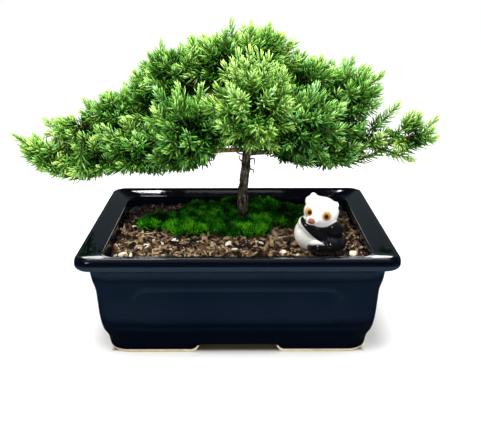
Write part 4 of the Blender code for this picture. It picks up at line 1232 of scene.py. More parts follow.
def lobe_of(name):
    """A packed spray's middle, its three axes and half sizes along them, which are the
    directions in which its surface points spread most and least."""
    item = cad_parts["foliage_" + name]
    flat = np.empty(len(item.data.vertices) * 3, np.float32)
    item.data.vertices.foreach_get("co", flat)
    points = np.unique(np.round(flat.reshape(-1, 3) / MM - POT_MIDDLE, 2), axis=0)
    centre = points.mean(0)
    _, _, axes = np.linalg.svd(points - centre, full_matrices=False)
    local = (points - centre) @ axes.T
    low, high = local.min(0), local.max(0)
    return {"middle": centre + 0.5 * (low + high) @ axes, "axes": axes, "half": 0.5 * (high - low)}


def all_lobes():
    """Every spray, and the way that it grows from the trunk or from the spray before it."""
    lobes = {}
    for rise, names in BOUGHS:
        source = trunk_place(rise)
        for name in names:
            lobe = lobe_of(name)
            lobe["out"] = unit(lobe["middle"] - source)
            lobes[name] = lobe
            source = lobe["middle"]
    return lobes


def depth_in(lobe, points):
    """Distance from a spray's middle, where 1 is its surface."""
    local = (points - lobe["middle"]) @ lobe["axes"].T
    return np.linalg.norm(local / lobe["half"], axis=-1)


def spread_rays(count, random):
    """Directions spread evenly over a sphere on a spiral, each a little moved."""
    k = np.arange(count) + 0.5
    z = 1 - 2 * k / count
    turn = math.pi * (1 + math.sqrt(5)) * k + random.uniform(0, TURN)
    flat = np.sqrt(1 - z * z)
    rays = np.stack((flat * np.cos(turn), flat * np.sin(turn), z), -1)
    return unit(rays + random.normal(0, 0.16, (count, 3)))


def in_front_view(points):
    """Where each point is seen, moved along the line of sight to the trunk's upright plane."""
    eye = np.array(CAMERA_SPOT)
    share = (TRUNK_SPOT[1] - eye[1]) / (points[:, 1] - eye[1])
    return (eye + (points - eye) * share[:, None])[:, [0, 2]]


def along_sight(spot, depth):
    """Points at other depths that are seen at the same place as `spot` (sideways and up)."""
    eye = np.array(CAMERA_SPOT)
    flat = np.column_stack((spot[:, 0], np.full(len(spot), TRUNK_SPOT[1]), spot[:, 1]))
    share = (depth - eye[1]) / (TRUNK_SPOT[1] - eye[1])
    return eye + (flat - eye) * share[:, None]


def within_outline(points, room):
    """Whether each point is seen at least `room` inside the tree's outline."""
    x, z = in_front_view(points).T
    return (z < np.interp(x, *zip(*CROWN_TOP)) - room) & (z > np.interp(x, *zip(*CROWN_LOW)) + 0.5 * room)


def lobe_shoots(name, lobes, random, props):
    """Curves of all the shoots of one spray, with each one's lightness and warmth."""
    lobe = lobes[name]
    amount, light, warm = SPRAY_LOOKS.get(name, (1.0, 0.0, 0.0))
    area = float(np.prod(lobe["half"]) ** (2 / 3))
    outer = max(7, int(round(props.shoot_density * amount * area)))
    within = int(0.42 * outer)
    rays = np.vstack((spread_rays(outer, random), spread_rays(within, random)))
    reach = np.concatenate((random.uniform(0.76, 1.12, outer), random.uniform(0.42, 0.70, within)))
    grown = lobe["half"] * props.spray_growth - 3.0
    ways = (rays * grown) @ lobe["axes"]
    ways[:, 1] *= np.where(ways[:, 1] > 0, 0.86, 0.95)
    tips = lobe["middle"] + reach[:, None] * ways
    room = random.uniform(3.0, 7.5, len(tips))
    for _ in range(7):
        outside = ~within_outline(tips, room)
        tips[outside] = lobe["middle"] + (tips[outside] - lobe["middle"]) * 0.88
    buried = np.zeros(len(tips), bool)
    for other, room in lobes.items():
        if other != name:
            buried |= depth_in(room, tips) < 0.55
    keep = ~buried & within_outline(tips, 2.0)
    tips, reach = tips[keep], reach[keep]
    radial = unit(tips - lobe["middle"])
    out = lobe["out"]
    low = np.clip(-radial[:, 2:] * 1.4, 0, 1)
    heading = unit(
        radial * 0.60
        + UP * (0.62 * (1 - low) - 0.02 * low)
        + out * (0.30 + 0.35 * low)
        + random.normal(0, 0.24, radial.shape)
    )
    spine = lobe["middle"] - 0.55 * out * lobe["half"].mean() - 0.25 * UP * lobe["half"].min()
    start = spine + 0.22 * (tips - spine)
    longest = random.uniform(20, 31, (len(tips), 1))
    gap = np.linalg.norm(tips - start, axis=1, keepdims=True)
    start = tips + (start - tips) * np.minimum(1.0, longest / gap)
    length = np.linalg.norm(tips - start, axis=1, keepdims=True)
    first = unit(unit(tips - start) + 0.5 * out + random.normal(0, 0.12, radial.shape))
    curves = (start, start + 0.36 * length * first, tips - 0.40 * length * heading, tips)
    # painted light and shade: upper shoots lighter, and shoots deep inside the spray darker
    tone = props.needle_tone + light + 0.17 * radial[:, 2] + 0.75 * (reach - 0.90)
    tone = tone + random.normal(0, 0.08, len(tips))
    warmth = warm + random.normal(0, 0.25, len(tips))
    return curves, tone, warmth


def leader_shoots(name, random, props):
    """The shoots of LEADERS that belong to one spray, curving up to their tips."""
    rows = [row for row in LEADERS if row[0] == name]
    if not rows:
        return None
    _, light, warm = SPRAY_LOOKS.get(name, (1.0, 0.0, 0.0))
    spot = np.array([row[1] for row in rows], float)
    tips = along_sight(spot - (0.0, 3.0), TRUNK_SPOT[1] + random.uniform(-6, 6, len(rows)))
    way = np.array([row[2] for row in rows], float)
    heading = unit(np.stack((way[:, 0], random.uniform(-0.15, 0.15, len(rows)), way[:, 1]), -1))
    tips = tips - 1.5 * heading
    length = np.array([row[3] for row in rows], float)[:, None]
    level = np.zeros(len(rows))
    inward = unit(np.stack((-np.sign(spot[:, 0] - TRUNK_SPOT[0]), level, level), -1))
    start = tips - 0.93 * length * heading + 0.22 * length * inward
    bow = start + 0.4 * length * unit(heading - 0.6 * inward)
    curves = (start, bow, tips - 0.38 * length * heading, tips)
    tone = np.full(len(rows), props.needle_tone + light + 0.10) + random.normal(0, 0.03, len(rows))
    return curves, tone, np.full(len(rows), warm + 0.2)


def hanging_shoots(name, random, props):
    """The shoots of HANGERS that belong to one spray, bent down to their tips."""
    rows = [row for row in HANGERS if row[0] == name]
    if not rows:
        return None
    _, light, warm = SPRAY_LOOKS.get(name, (1.0, 0.0, 0.0))
    rows = rows + rows
    count = len(rows)
    spot = np.array([row[1] for row in rows], float) + random.uniform(-2.5, 2.5, (count, 2)) + (0, 4.0)
    tips = along_sight(spot, TRUNK_SPOT[1] + random.uniform(-20, 4, count))
    way = np.array([row[2] for row in rows], float)
    heading = unit(np.stack((way[:, 0], random.uniform(-0.5, 0.3, count), way[:, 1]), -1))
    length = random.uniform(17, 24, (count, 1))
    start = tips - 0.85 * length * heading + 0.35 * length * UP
    bow = start + 0.4 * length * unit(heading * (1, 1, 0) + 0.1 * UP)
    curves = (start, bow, tips - 0.4 * length * heading, tips)
    # painted shade: the hanging shoots under the sprays are darker and cooler
    tone = np.full(count, props.needle_tone + light - 0.10) + random.normal(0, 0.05, count)
    return curves, tone, np.full(count, warm - 0.1)


def build_foliage(props, finish):
    """The needle shoots of every spray, each spray with its own piece."""
    lobes = all_lobes()
    for order, name in enumerate(lobes):
        random = np.random.default_rng(100 + order)
        curves, tone, warmth = lobe_shoots(name, lobes, random, props)
        parts = [clothed_shoots(random, curves, tone, warmth, props, props.whorls)]
        leaders = leader_shoots(name, random, props)
        if leaders is not None:
            parts.append(clothed_shoots(random, *leaders, props, props.whorls + 6, 0.10))
        hangers = hanging_shoots(name, random, props)
        if hangers is not None:
            parts.append(clothed_shoots(random, *hangers, props, props.whorls, 0.10))
        points, faces, uv = join_parts(parts)
        make_piece("shoots_" + name, points, faces, finish, ["foliage_" + name], "needles", uv)


def bark_relief(strength, seed):
    """Upright plates and cracks: ridges that run along the stem and wander round it."""

    def relief(line, angle):
        run = np.concatenate(([0.0], np.cumsum(np.linalg.norm(np.diff(line, axis=0), axis=1))))[:, None]
        round_it = (2.0 * np.cos(angle)[None], 2.0 * np.sin(angle)[None])
        ring = np.stack(np.broadcast_arrays(*round_it, 0.22 * run), -1)
        coarse = ripple(ring, 1.6, seed)
        fine = ripple(ring * (1, 1, 2.2), 0.7, seed + 1)
        crack = -np.abs(ripple(ring, 1.0, seed + 2)) * 0.8
        return strength * (0.55 * coarse + 0.35 * fine + crack + 0.3)

    return relief


def bough_curves(lobes):
    """From the trunk through the lower part of each spray that a bough carries."""
    for rise, names in BOUGHS:
        points = [trunk_place(rise)]
        for name in names:
            points.append(lobes[name]["middle"] - (0, 0, 0.25 * lobes[name]["half"].min()))
        yield smooth_line(points, 10)


def root_curves():
    foot = tree_foot()
    for degrees in (20, 95, 160, 235, 310):
        angle = math.radians(degrees)
        out = np.array((math.cos(angle), math.sin(angle), 0))
        start = foot + (0, 0, 3.0)
        middle = foot + 0.42 * ROOT_SPREAD * out - (0, 0, 0.16 * ROOT_DEPTH)
        end = foot + ROOT_SPREAD * out - (0, 0, ROOT_DEPTH)
        yield smooth_line([start, middle, end], 8)


# Short dead twigs on the trunk: height, heading in degrees, then steps out and up
DEAD_TWIGS = [
    (113, 180, (1.2, 2.5), (1.6, 6.0)),
    (119, 176, (3.0, 1.5), (5.5, 3.5)),
    (115, 5, (2.6, 1.2), (3.2, -3.5)),
    (109, -4, (2.4, -1.0), (2.8, -4.0)),
    (119, 8, (5.0, 6.0), (11.0, 17.0)),
    (117, 350, (2.0, 8.0), (3.5, 19.0)),
    (120, 20, (9.0, 4.0), (17.0, 14.0)),
]


def build_trunk(props, finish):
    """The wood as one piece: trunk, boughs, roots and dead twigs."""
    lobes = all_lobes()
    line = trunk_line()
    parts = [closed_tube(line, trunk_radius(line[:, 2]), 44, bark_relief(0.25, 7))]
    for number, bough in enumerate(bough_curves(lobes)):
        radii = np.linspace(1.9, 0.8, len(bough))
        parts.append(closed_tube(bough, radii, 14, bark_relief(0.13, 20 + number)))
    for number, root in enumerate(root_curves()):
        parts.append(closed_tube(root, np.linspace(2.9, 0.9, len(root)), 16, bark_relief(0.14, 60 + number)))
    for height, degrees, near, far in DEAD_TWIGS:
        x = float(np.interp(height, line[:, 2], line[:, 0]))
        y = float(np.interp(height, line[:, 2], line[:, 1]))
        foot = np.array((x, y, height))
        angle = math.radians(degrees)
        out = np.array((math.cos(angle), math.sin(angle), 0))
        radius = float(trunk_radius(np.array(height)))
        places = [foot + out * (radius + away) + UP * rise for away, rise in (near, far)]
        twig = smooth_line([foot] + places, 8)
        parts.append(closed_tube(twig, np.linspace(0.75, 0.28, len(twig)), 8))
    blank = [(points, faces, np.zeros((len(points), 2))) for points, faces in parts]
    points, faces, _ = join_parts(blank)
    make_piece("trunk_wood", points, faces, finish, ["trunk"], "bark")


# ------------------------------------------------------------------ the moss


def moss_shares(x, y):
    """How far out each point lies in every cushion, where 1 is the cushion's edge."""
    rows = []
    for middle, half in MOSS.values():
        u = (x / SOIL_HALF[0] - middle[0]) / half[0]
        v = (y / SOIL_HALF[1] - middle[1]) / half[1]
        rows.append(np.hypot(u, v))
    return np.stack(rows)


def build_moss(props, finish):
    """Each cushion: a low dome, height (1 - r^2)^0.55 of the full rise with lumps, under
    short blades that stand out of it in every direction."""
    for order, (name, (middle, size)) in enumerate(MOSS.items()):
        random = np.random.default_rng(300 + order)
        centre = np.array(middle) * SOIL_HALF
        reach = np.array(size) * SOIL_HALF

        def ragged(x, y, part):
            """The share of the way out, made uneven so that the cushion's edge wanders."""
            spots = np.stack((x, y, np.zeros_like(x)), -1)
            return part * (1 + 0.24 * ripple(spots, 15.0, 71) + 0.14 * ripple(spots, 6.0, 72)) + 0.02

        def dome(x, y, part):
            rise = MOSS_HEIGHT - 3.2 + 3.0 * smooth_step(y, 15, 45)
            part = ragged(x, y, part)
            top = soil_top(x, y) + 0.6 + rise * np.clip(1 - part**2, 0, 1) ** 0.55 - 3.0 * (part > 1.02)
            spots = np.stack((x, y, np.zeros_like(x)), -1)
            lumps = 2.7 * ripple(spots, 17.0, 9) + 2.3 * ripple(spots, 8.0, 10)
            return top + lumps * np.clip(1.25 - part, 0, 1)

        rows, columns = 18, 64
        part = np.linspace(1.0, 0.0, rows)[:-1, None]
        angle = TURN * np.arange(columns)[None, :] / columns
        x = centre[0] + part * reach[0] * np.cos(angle)
        y = centre[1] + part * reach[1] * np.sin(angle)
        z = dome(x, y, part * np.ones_like(angle))
        rings = np.stack((x, y, z), -1)
        base = rings[:1].copy()
        base[..., 2] = soil_top(base[..., 0], base[..., 1]) - 1.0
        rings = np.concatenate((base, rings), 0)
        points, fans = close_ends(rings.reshape(-1, 3), len(rings), columns)
        flat_uv = np.column_stack((0.2 + 0.4 * random.random(len(points)), np.full(len(points), 0.96)))
        parts = [(points, [ring_faces(len(rings), columns)] + fans, flat_uv)]
        area = math.pi * reach[0] * reach[1]
        count = int(area * props.moss_density)
        spread = np.sqrt(random.random(count)) * 1.04
        turn = random.uniform(0, TURN, count)
        bx = centre[0] + spread * reach[0] * np.cos(turn)
        by = centre[1] + spread * reach[1] * np.sin(turn)
        nearest = moss_shares(bx, by).argmin(0) == order
        clear = np.hypot((bx - TRUNK_SPOT[0]) * 1.2, by - TRUNK_SPOT[1] + 1.5) > 7.0
        keep = nearest & clear & (ragged(bx, by, spread) < 1.03)
        bx, by, spread = bx[keep], by[keep], spread[keep]
        bz = dome(bx, by, np.minimum(spread, 1.0)) - 0.4
        foot = np.column_stack((bx, by, bz))
        edge = (foot - (*centre, soil_top(*centre) - 6.0)) / (*reach, 14.0)
        axis = unit(unit(edge) * 0.8 + UP * 0.5 + random.normal(0, 0.42, foot.shape))
        inner = unit(np.cross(axis, unit(random.normal(size=foot.shape))))
        front = smooth_step(-by, -30, 10)
        length = random.uniform(2.0, 4.2, len(foot)) * (1 + 0.5 * front * smooth_step(spread, 0.5, 1.0))
        width = np.full(len(foot), MOSS_BLADE)
        bend = random.uniform(-0.2, 0.25, len(foot))
        blades, faces = spikes(foot, axis, inner, length, width, bend)
        flat = foot * (1, 1, 0)
        # painted shade and light: blades darker in the hollows between the dome's lumps, lighter on the lumps
        # and on the cushions' front edges
        tufts = np.clip(0.40 + 0.36 * ripple(flat, 17.0, 9) + 0.42 * ripple(flat, 8.0, 10), 0, 1)
        edge_light = front * smooth_step(spread, 0.3, 1.0)
        tone = 0.14 + 0.70 * tufts + 0.32 * edge_light + random.normal(0, 0.10, len(foot))
        across = np.clip(tone, 0.03, 0.97)[:, None] + SPIKE_ACROSS[None]
        uv = np.stack((across, 0.02 + 0.86 * np.broadcast_to(SPIKE_ALONG, across.shape)), -1).reshape(-1, 2)
        parts.append((blades, faces, uv))
        points, faces, uv = join_parts(parts)
        label = name.replace("moss", "moss_tufts")
        make_piece(label, points, faces, finish, [name], "moss", uv)


# ------------------------------------------------------------------ the panda


def panda_frame():
    """The figurine's middle on the soil, its scale, and its turn about the upright."""
    low, high = (np.array(corner) / MM - POT_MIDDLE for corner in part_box("panda_figurine"))
    scale = (high[2] - low[2]) / PANDA_TALL
    angle = math.radians(PANDA_TURN)
    cos, sin = math.cos(angle), math.sin(angle)
    turn = np.array(((cos, -sin, 0), (sin, cos, 0), (0, 0, 1)))
    middle = np.array((0.5 * (low[0] + high[0]) - 1.2 * scale, 0.5 * (low[1] + high[1]) + 1.4, low[2] - 1.0))
    return middle, scale, turn


def rise_matrix(degrees):
    """A turn about the depth axis that lifts the x axis."""
    angle = math.radians(degrees)
    cos, sin = math.cos(angle), math.sin(angle)
    return np.array(((cos, 0, -sin), (0, 1, 0), (sin, 0, cos)))


def build_panda(props, finish):
    """Rounded volumes (x, y, z = half sizes times a point of the unit sphere) that are
    melted together and smoothed, like one casting."""
    middle, scale, turn = panda_frame()
    rows, columns = 20, 32
    fall = math.pi * (np.arange(1, rows + 1) / (rows + 1))[:, None]
    round_ = TURN * np.arange(columns)[None, :] / columns
    flat = (np.sin(fall) * np.cos(round_), np.sin(fall) * np.sin(round_))
    rays = np.stack((*flat, -np.cos(fall) * np.ones_like(round_)), -1)
    parts = []
    for spot, half, degrees in list(PANDA.values()) + face_volumes():
        local = (rays * half) @ rise_matrix(degrees).T + spot
        points = middle + scale * (local.reshape(-1, 3) @ turn.T)
        points, fans = close_ends(points, rows, columns)
        parts.append((points, [ring_faces(rows, columns)] + fans, np.zeros((len(points), 2))))
    points, faces, _ = join_parts(parts)
    points[:, 2] = np.maximum(points[:, 2], middle[2] + 1.0)
    panda = make_piece("panda_ceramic", points, faces, finish, ["panda_figurine"], "figurine")
    melt = panda.modifiers.new("melt", "REMESH")
    melt.mode = "VOXEL"
    melt.voxel_size = 0.00045
    ease = panda.modifiers.new("ease", "SMOOTH")
    ease.factor = 0.6
    ease.iterations = 5
    keep_modified(panda)
    panda.data.shade_smooth()


FACE = {
    "eye_left": ((-6.6, -7.6, 29.6), (2.6, 1.5, 3.2)),
    "eye_right": ((5.0, -10.2, 28.0), (3.1, 1.3, 3.3)),
    "nose": ((-4.6, -11.8, 24.4), (1.9, 1.3, 1.8)),
}


def face_volumes():
    return [(spot, half, 0) for spot, half in FACE.values()]


def panda_material(props):
    """White glaze with the dark coat, the eyes and the nose painted on as soft patches."""
    middle, scale, turn = panda_frame()
    made, tree, shader = new_material("panda_glaze")
    places = object_places(tree)

    def patch(spot, half, degrees=0, softness=0.05):
        where = place(middle + scale * (turn @ np.array(spot, float)))
        mapping = node(tree, "ShaderNodeMapping", {"Vector": places}, vector_type="TEXTURE")
        mapping.inputs["Location"].default_value = where
        mapping.inputs["Rotation"].default_value = (0, -math.radians(degrees), math.radians(PANDA_TURN))
        mapping.inputs["Scale"].default_value = np.array(half) * scale * MM
        inputs = {"Vector": mapping.outputs[0], "Softness": softness}
        return use_group(tree, patch_group(), inputs).outputs["Mask"]

    def either(first, second):
        return node(tree, "ShaderNodeMath", {0: first, 1: second}, operation="MAXIMUM").outputs[0]

    mask, height = mottled(tree, places, 90.0, 900.0, 0.3)
    white = blend_colours(tree, mask, (0.76, 0.75, 0.70), (0.88, 0.88, 0.85))
    dark = patch((0.6, -7.0, 17.6), (18.0, 9.0, 6.4), -40)
    dark = either(dark, patch((1.6, -9.0, 3.6), (8.8, 8.6, 7.4)))
    dark = either(dark, patch((13.5, 0.0, 12.0), (14.0, 20.0, 15.0)))
    spot, half, _ = PANDA["head"]
    head = patch(spot, np.array(half) * 1.06)
    spot, half, _ = PANDA["muzzle"]
    head = either(head, patch(spot, np.array(half) * 1.15))
    body = node(tree, "ShaderNodeMath", {0: dark, 1: head}, operation="SUBTRACT", use_clamp=True)
    colour = blend_colours(tree, body.outputs[0], white, props.panda_dark)
    for name in ("eye_left", "eye_right"):
        spot, half = FACE[name]
        ring = patch(spot, np.array((half[0] + 0.1, 4.0, half[2] + 0.1)), 0, 0.12)
        warm = ramp(tree, mask, [(0.0, (0.40, 0.21, 0.055)), (1.0, (0.58, 0.38, 0.15))])
        colour = blend_colours(tree, ring, colour, warm)
        shift = 0.7 if name == "eye_left" else 0.0
        iris = patch((spot[0] + shift, spot[1], spot[2] - 0.2), (1.9, 4.5, 2.2), 0, 0.25)
        colour = blend_colours(tree, iris, colour, (0.17, 0.065, 0.014))
        pupil = patch((spot[0] + shift, spot[1], spot[2] - 0.2), (1.1, 4.8, 1.25), 0, 0.15)
        colour = blend_colours(tree, pupil, colour, (0.006, 0.003, 0.002))
    spot, half = FACE["nose"]
    nose = patch(spot, np.array(half) + 0.5, 0, 0.15)
    colour = blend_colours(tree, nose, colour, (0.30, 0.085, 0.045))
    shadow = patch((spot[0] - 0.9, spot[1], spot[2] - 1.2), (1.2, 3.0, 1.2), 0, 0.4)
    colour = blend_colours(tree, shadow, colour, (0.06, 0.008, 0.006))
    tree.links.new(colour, shader.inputs["Base Color"])
    shader.inputs["Roughness"].default_value = 0.12
    bumped(tree, shader, height, 0.08, 0.0004)
    return made


# ------------------------------------------------------------------ the stage


def look_at(item, target):
    """Turn a light or camera so that it faces a point."""
    direction = np.asarray(target) - np.array(item.location)
    flat = math.hypot(direction[0], direction[1])
    heading = math.atan2(direction[1], direction[0]) - math.pi / 2
    item.rotation_euler = (math.atan2(flat, -direction[2]), 0, heading)


def add_light(name, spot, size, power, target=(0.0, 0.0, 0.1), colour=(1, 1, 1)):
    """An area light that faces a point."""
    light = bpy.data.lights.new(name, "AREA")
    light.shape = "RECTANGLE"
    light.size, light.size_y = size
    light.energy = power
    light.color = colour
    item = bpy.data.objects.new(name, light)
    item.location = spot
    bpy.context.scene.collection.objects.link(item)
    look_at(item, target)
    return item


def add_reflection(name, spot, size, glow, target):
    """A softbox that only shows in reflections."""
    item = add_light(name, spot, size, glow * math.pi * size[0] * size[1], target)
    item.visible_diffuse = False
    item.visible_transmission = False
    return item


def build_floor(props):
    """A wide pale sheet under the pot, with a very faint paper grain and a painted shadow inside the pot's
    footprint.
    """
    made, tree, shader = new_material("studio_paper")
    mask, _ = mottled(tree, object_places(tree), 8.0, 300.0)
    colour = blend_colours(tree, mask, (0.90, 0.90, 0.90), (0.93, 0.93, 0.93))
    # painted shadow: the paper inside the pot's foot ring is dark olive-brown
    under = None
    for axis, inset in enumerate((BASE_INSET * END_SHARE, BASE_INSET)):
        spot = node(tree, "ShaderNodeSeparateXYZ", {0: object_places(tree)}).outputs[axis]
        middle = place((0, 0, 0))[axis]
        away = node(tree, "ShaderNodeMath", {0: spot, 1: middle}, operation="SUBTRACT")
        away = node(tree, "ShaderNodeMath", {0: away.outputs[0]}, operation="ABSOLUTE").outputs[0]
        half = (POT_HALF[axis] - inset) * MM
        beyond = shares(tree, away, half - 4 * MM, half)
        under = beyond if under is None else maths(tree, "MAXIMUM", under, beyond)
    colour = blend_colours(tree, under, (0.16, 0.14, 0.08), colour)
    tree.links.new(colour, shader.inputs["Base Color"])
    shader.inputs["Roughness"].default_value = 0.9
    shader.inputs["Specular IOR Level"].default_value = 0.1
    mesh = bpy.data.meshes.new("studio_floor")
    reach = 3.0
    corners = [(-reach, -reach, 0), (reach, -reach, 0), (reach, reach, 0), (-reach, reach, 0)]
    mesh.from_pydata(corners, [], [(0, 1, 2, 3)])
    mesh.materials.append(made)
    floor = bpy.data.objects.new("studio_floor", mesh)
    bpy.context.scene.collection.objects.link(floor)
    floor.visible_glossy = False


def build_world(props):
    """White behind the object and soft light from all sides; in reflections a dim room,
    brighter in front above eye level and in a low band behind."""
    world = bpy.data.worlds.new("studio")
    bpy.context.scene.world = world
    world.use_nodes = True
    tree = world.node_tree
    tree.nodes.clear()
    way = node(tree, "ShaderNodeTexCoord").outputs["Generated"]
    split = node(tree, "ShaderNodeSeparateXYZ", {0: way})
    rise = node(tree, "ShaderNodeMath", {0: split.outputs[2], 1: 0.5, 2: 0.5}, operation="MULTIPLY_ADD")
    behind = [
        (0.50, (0.015, 0.018, 0.02)),
        (0.58, (0.06, 0.07, 0.08)),
        (0.64, (0.17, 0.215, 0.225)),
        (0.73, (0.13, 0.165, 0.175)),
        (0.79, (0.03, 0.035, 0.04)),
        (0.92, (0.03, 0.035, 0.04)),
        (1.0, (0.45, 0.52, 0.60)),
    ]
    before = [
        (0.12, (0.010, 0.014, 0.02)),
        (0.30, (0.10, 0.13, 0.165)),
        (0.44, (0.085, 0.11, 0.135)),
        (0.52, (0.02, 0.02, 0.02)),
        (0.85, (0.03, 0.035, 0.04)),
        (1.0, (0.40, 0.46, 0.52)),
    ]
    back = ramp(tree, rise.outputs[0], behind)
    front = ramp(tree, rise.outputs[0], before)
    room = blend_colours(tree, shares(tree, split.outputs[1], -0.25, 0.25), front, back)
    path = node(tree, "ShaderNodeLightPath")
    soft = node(tree, "ShaderNodeBackground", {"Color": (1, 1, 1, 1), "Strength": props.ambient})
    seen = node(tree, "ShaderNodeBackground", {"Color": room, "Strength": props.room_glow})
    white = node(tree, "ShaderNodeBackground", {"Color": (1, 1, 1, 1), "Strength": 1.0})
    glossy = {0: path.outputs["Is Glossy Ray"], 1: soft.outputs[0], 2: seen.outputs[0]}
    first = node(tree, "ShaderNodeMixShader", glossy)
    camera = {0: path.outputs["Is Camera Ray"], 1: first.outputs[0], 2: white.outputs[0]}
    second = node(tree, "ShaderNodeMixShader", camera)
    node(tree, "ShaderNodeOutputWorld", {0: second.outputs[0]})


def build_camera():
    camera = bpy.data.cameras.new("camera")
    camera.lens = 50.0
    camera.sensor_width = 36.0
    camera.clip_start = 0.01
    item = bpy.data.objects.new("camera", camera)
    item.location = place(CAMERA_SPOT)
    item.rotation_euler = (math.pi / 2 - 0.333, 0, -0.006)
    bpy.context.scene.collection.objects.link(item)
    bpy.context.scene.camera = item


# ----------------------------------------------------------------- properties


def length_prop(label, text, default):
    """A length in metres that can be set in the panel."""
    return bpy.props.FloatProperty(name=label, description=text, default=default, unit="LENGTH", precision=5)


def colour_prop(label, text, default):
    """A colour that can be set in the panel."""
    return bpy.props.FloatVectorProperty(
        name=label, description=text, default=default, size=3, min=0.0, max=1.0, subtype="COLOR"
    )


def count_prop(label, text, default, least):
    """A whole number that can be set in the panel."""
    return bpy.props.IntProperty(name=label, description=text, default=default, min=least)


def share_prop(label, text, default, most=1.0):
    """A plain number that can be set in the panel."""
    return bpy.props.FloatProperty(name=label, description=text, default=default, min=0.0, max=most)


class BonsaiPotProps(bpy.types.PropertyGroup):
    panel_lift: length_prop("Panel lift", "How far the panel stands out of each wall", 0.0012)
    # painted shade on the rim top, the low body and the grooves, not a thicker glaze
    glaze_shaded: colour_prop("Deep glaze", "Colour where the glaze is thick", (0.0003, 0.0007, 0.0026))
    glaze_pale: colour_prop("Pale glaze", "Colour where the glaze is even", (0.0017, 0.0046, 0.0112))
    glaze_cloud: colour_prop("Cloudy glaze", "Soft lighter clouds in the glaze", (0.0034, 0.0072, 0.0145))
    # pale glaze of the flecks and the panel line, and painted reflection on the lip and the neck
    glaze_sheen_and_thin: colour_prop("Thin glaze", "Colour where the glaze runs thin", (0.014, 0.024, 0.035))
    glaze_gloss: share_prop("Gloss", "Strength of the reflection", 0.35)
    clay_light: colour_prop("Light clay", "Bare clay under the feet", (0.84, 0.75, 0.56))
    clay_dark: colour_prop("Dark clay", "Darker grains of the bare clay", (0.50, 0.40, 0.25))


class BonsaiGroundProps(bpy.types.PropertyGroup):
    chip_count: count_prop("Chips", "Bark chips on the soil", 15500, 100)
    chip_dark: colour_prop("Dark chips", "The darkest bark", (0.010, 0.0045, 0.0025))
    chip_mid: colour_prop("Middle chips", "The commonest bark", (0.115, 0.066, 0.032))
    chip_light: colour_prop("Light chips", "The palest bark", (0.48, 0.33, 0.19))
    moss_density: share_prop("Moss density", "Blades on each square millimetre", 3.2, 20.0)
    moss_dark: colour_prop("Dark moss", "Moss in the shade", (0.001, 0.018, 0.0003))
    moss_mid: colour_prop("Middle moss", "The commonest moss", (0.010, 0.20, 0.001))
    moss_light: colour_prop("Light moss", "Fresh moss at the edges", (0.12, 0.52, 0.012))


class BonsaiTreeProps(bpy.types.PropertyGroup):
    needle_length: length_prop("Needle length", "Length of a full-grown needle", 0.0080)
    needle_width: length_prop("Needle width", "Width of a needle at its middle", 0.00135)
    needle_tone: share_prop("Needle lightness", "Place of the middle needle on the green scale", 0.55)
    shoot_density: share_prop("Shoots", "Shoots for each square millimetre of a spray's mean size", 0.10)
    spray_growth: share_prop("Spray growth", "Size of the shoots' tips against the sprays", 1.36, 2.0)
    whorls: count_prop("Whorls", "Whorls of needles on a shoot", 11, 3)
    needle_dark: colour_prop("Dark needles", "Old needles in the shade", (0.005, 0.048, 0.0015))
    needle_mid: colour_prop("Middle needles", "The commonest needles", (0.078, 0.270, 0.022))
    needle_light: colour_prop("Light needles", "Young needles", (0.25, 0.54, 0.095))
    needle_tip: colour_prop("Fresh needles", "The youngest needles", (0.52, 0.82, 0.26))
    bark_dark: colour_prop("Bark cracks", "Bottom of the cracks", (0.010, 0.007, 0.004))
    bark_mid: colour_prop("Bark", "The commonest bark", (0.048, 0.035, 0.023))
    bark_light: colour_prop("Bark plates", "Weathered plates", (0.15, 0.12, 0.085))


class BonsaiPandaProps(bpy.types.PropertyGroup):
    panda_dark: colour_prop("Dark coat", "The dark parts of the panda", (0.004, 0.004, 0.005))


class BonsaiStageProps(bpy.types.PropertyGroup):
    ambient: share_prop("Soft light", "Light from all sides", 1.13, 5.0)
    room_glow: share_prop("Room", "Brightness of the room in reflections", 1.0, 5.0)


# ------------------------------------------------------------------ operators


class BONSAI_OT_pot(bpy.types.Operator):
    """Build the glazed pot and finish the drain screens"""

    bl_idname = "bonsai.pot"
    bl_label = "Build Pot"

    def execute(self, context):
        props = context.scene.bonsai_pot
        build_pot(props, glaze_material(props))
        plastic = screen_material()
        for name in ("drain_screen_left", "drain_screen_right"):
            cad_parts[name].material_slots[0].material = plastic
        return {"FINISHED"}


class BONSAI_OT_soil(bpy.types.Operator):
    """Build the potting mix with its bark chips and pebbles"""

    bl_idname = "bonsai.soil"
    bl_label = "Build Soil"

    def execute(self, context):
        props = context.scene.bonsai_ground
        build_soil(props, earth_material(), chip_material(props))
        build_stones(pumice_material(), loose_bark_material(props))
        return {"FINISHED"}


class BONSAI_OT_moss(bpy.types.Operator):
    """Build the moss cushions"""

    bl_idname = "bonsai.moss"
    bl_label = "Build Moss"

    def execute(self, context):
        props = context.scene.bonsai_ground
        build_moss(props, moss_material(props))
        return {"FINISHED"}


class BONSAI_OT_trunk(bpy.types.Operator):
    """Build the trunk, boughs and roots"""

    bl_idname = "bonsai.trunk"
    bl_label = "Build Trunk"

    def execute(self, context):
        props = context.scene.bonsai_tree
        build_trunk(props, bark_material(props))
        return {"FINISHED"}


class BONSAI_OT_foliage(bpy.types.Operator):
    """Build every spray of needle shoots"""

    bl_idname = "bonsai.foliage"
    bl_label = "Build Foliage"

    def execute(self, context):
        props = context.scene.bonsai_tree
        build_foliage(props, foliage_material(props))
        return {"FINISHED"}


class BONSAI_OT_panda(bpy.types.Operator):
    """Build the ceramic panda"""

    bl_idname = "bonsai.panda"
    bl_label = "Build Panda"

    def execute(self, context):
        props = context.scene.bonsai_panda
        build_panda(props, panda_material(props))
        return {"FINISHED"}


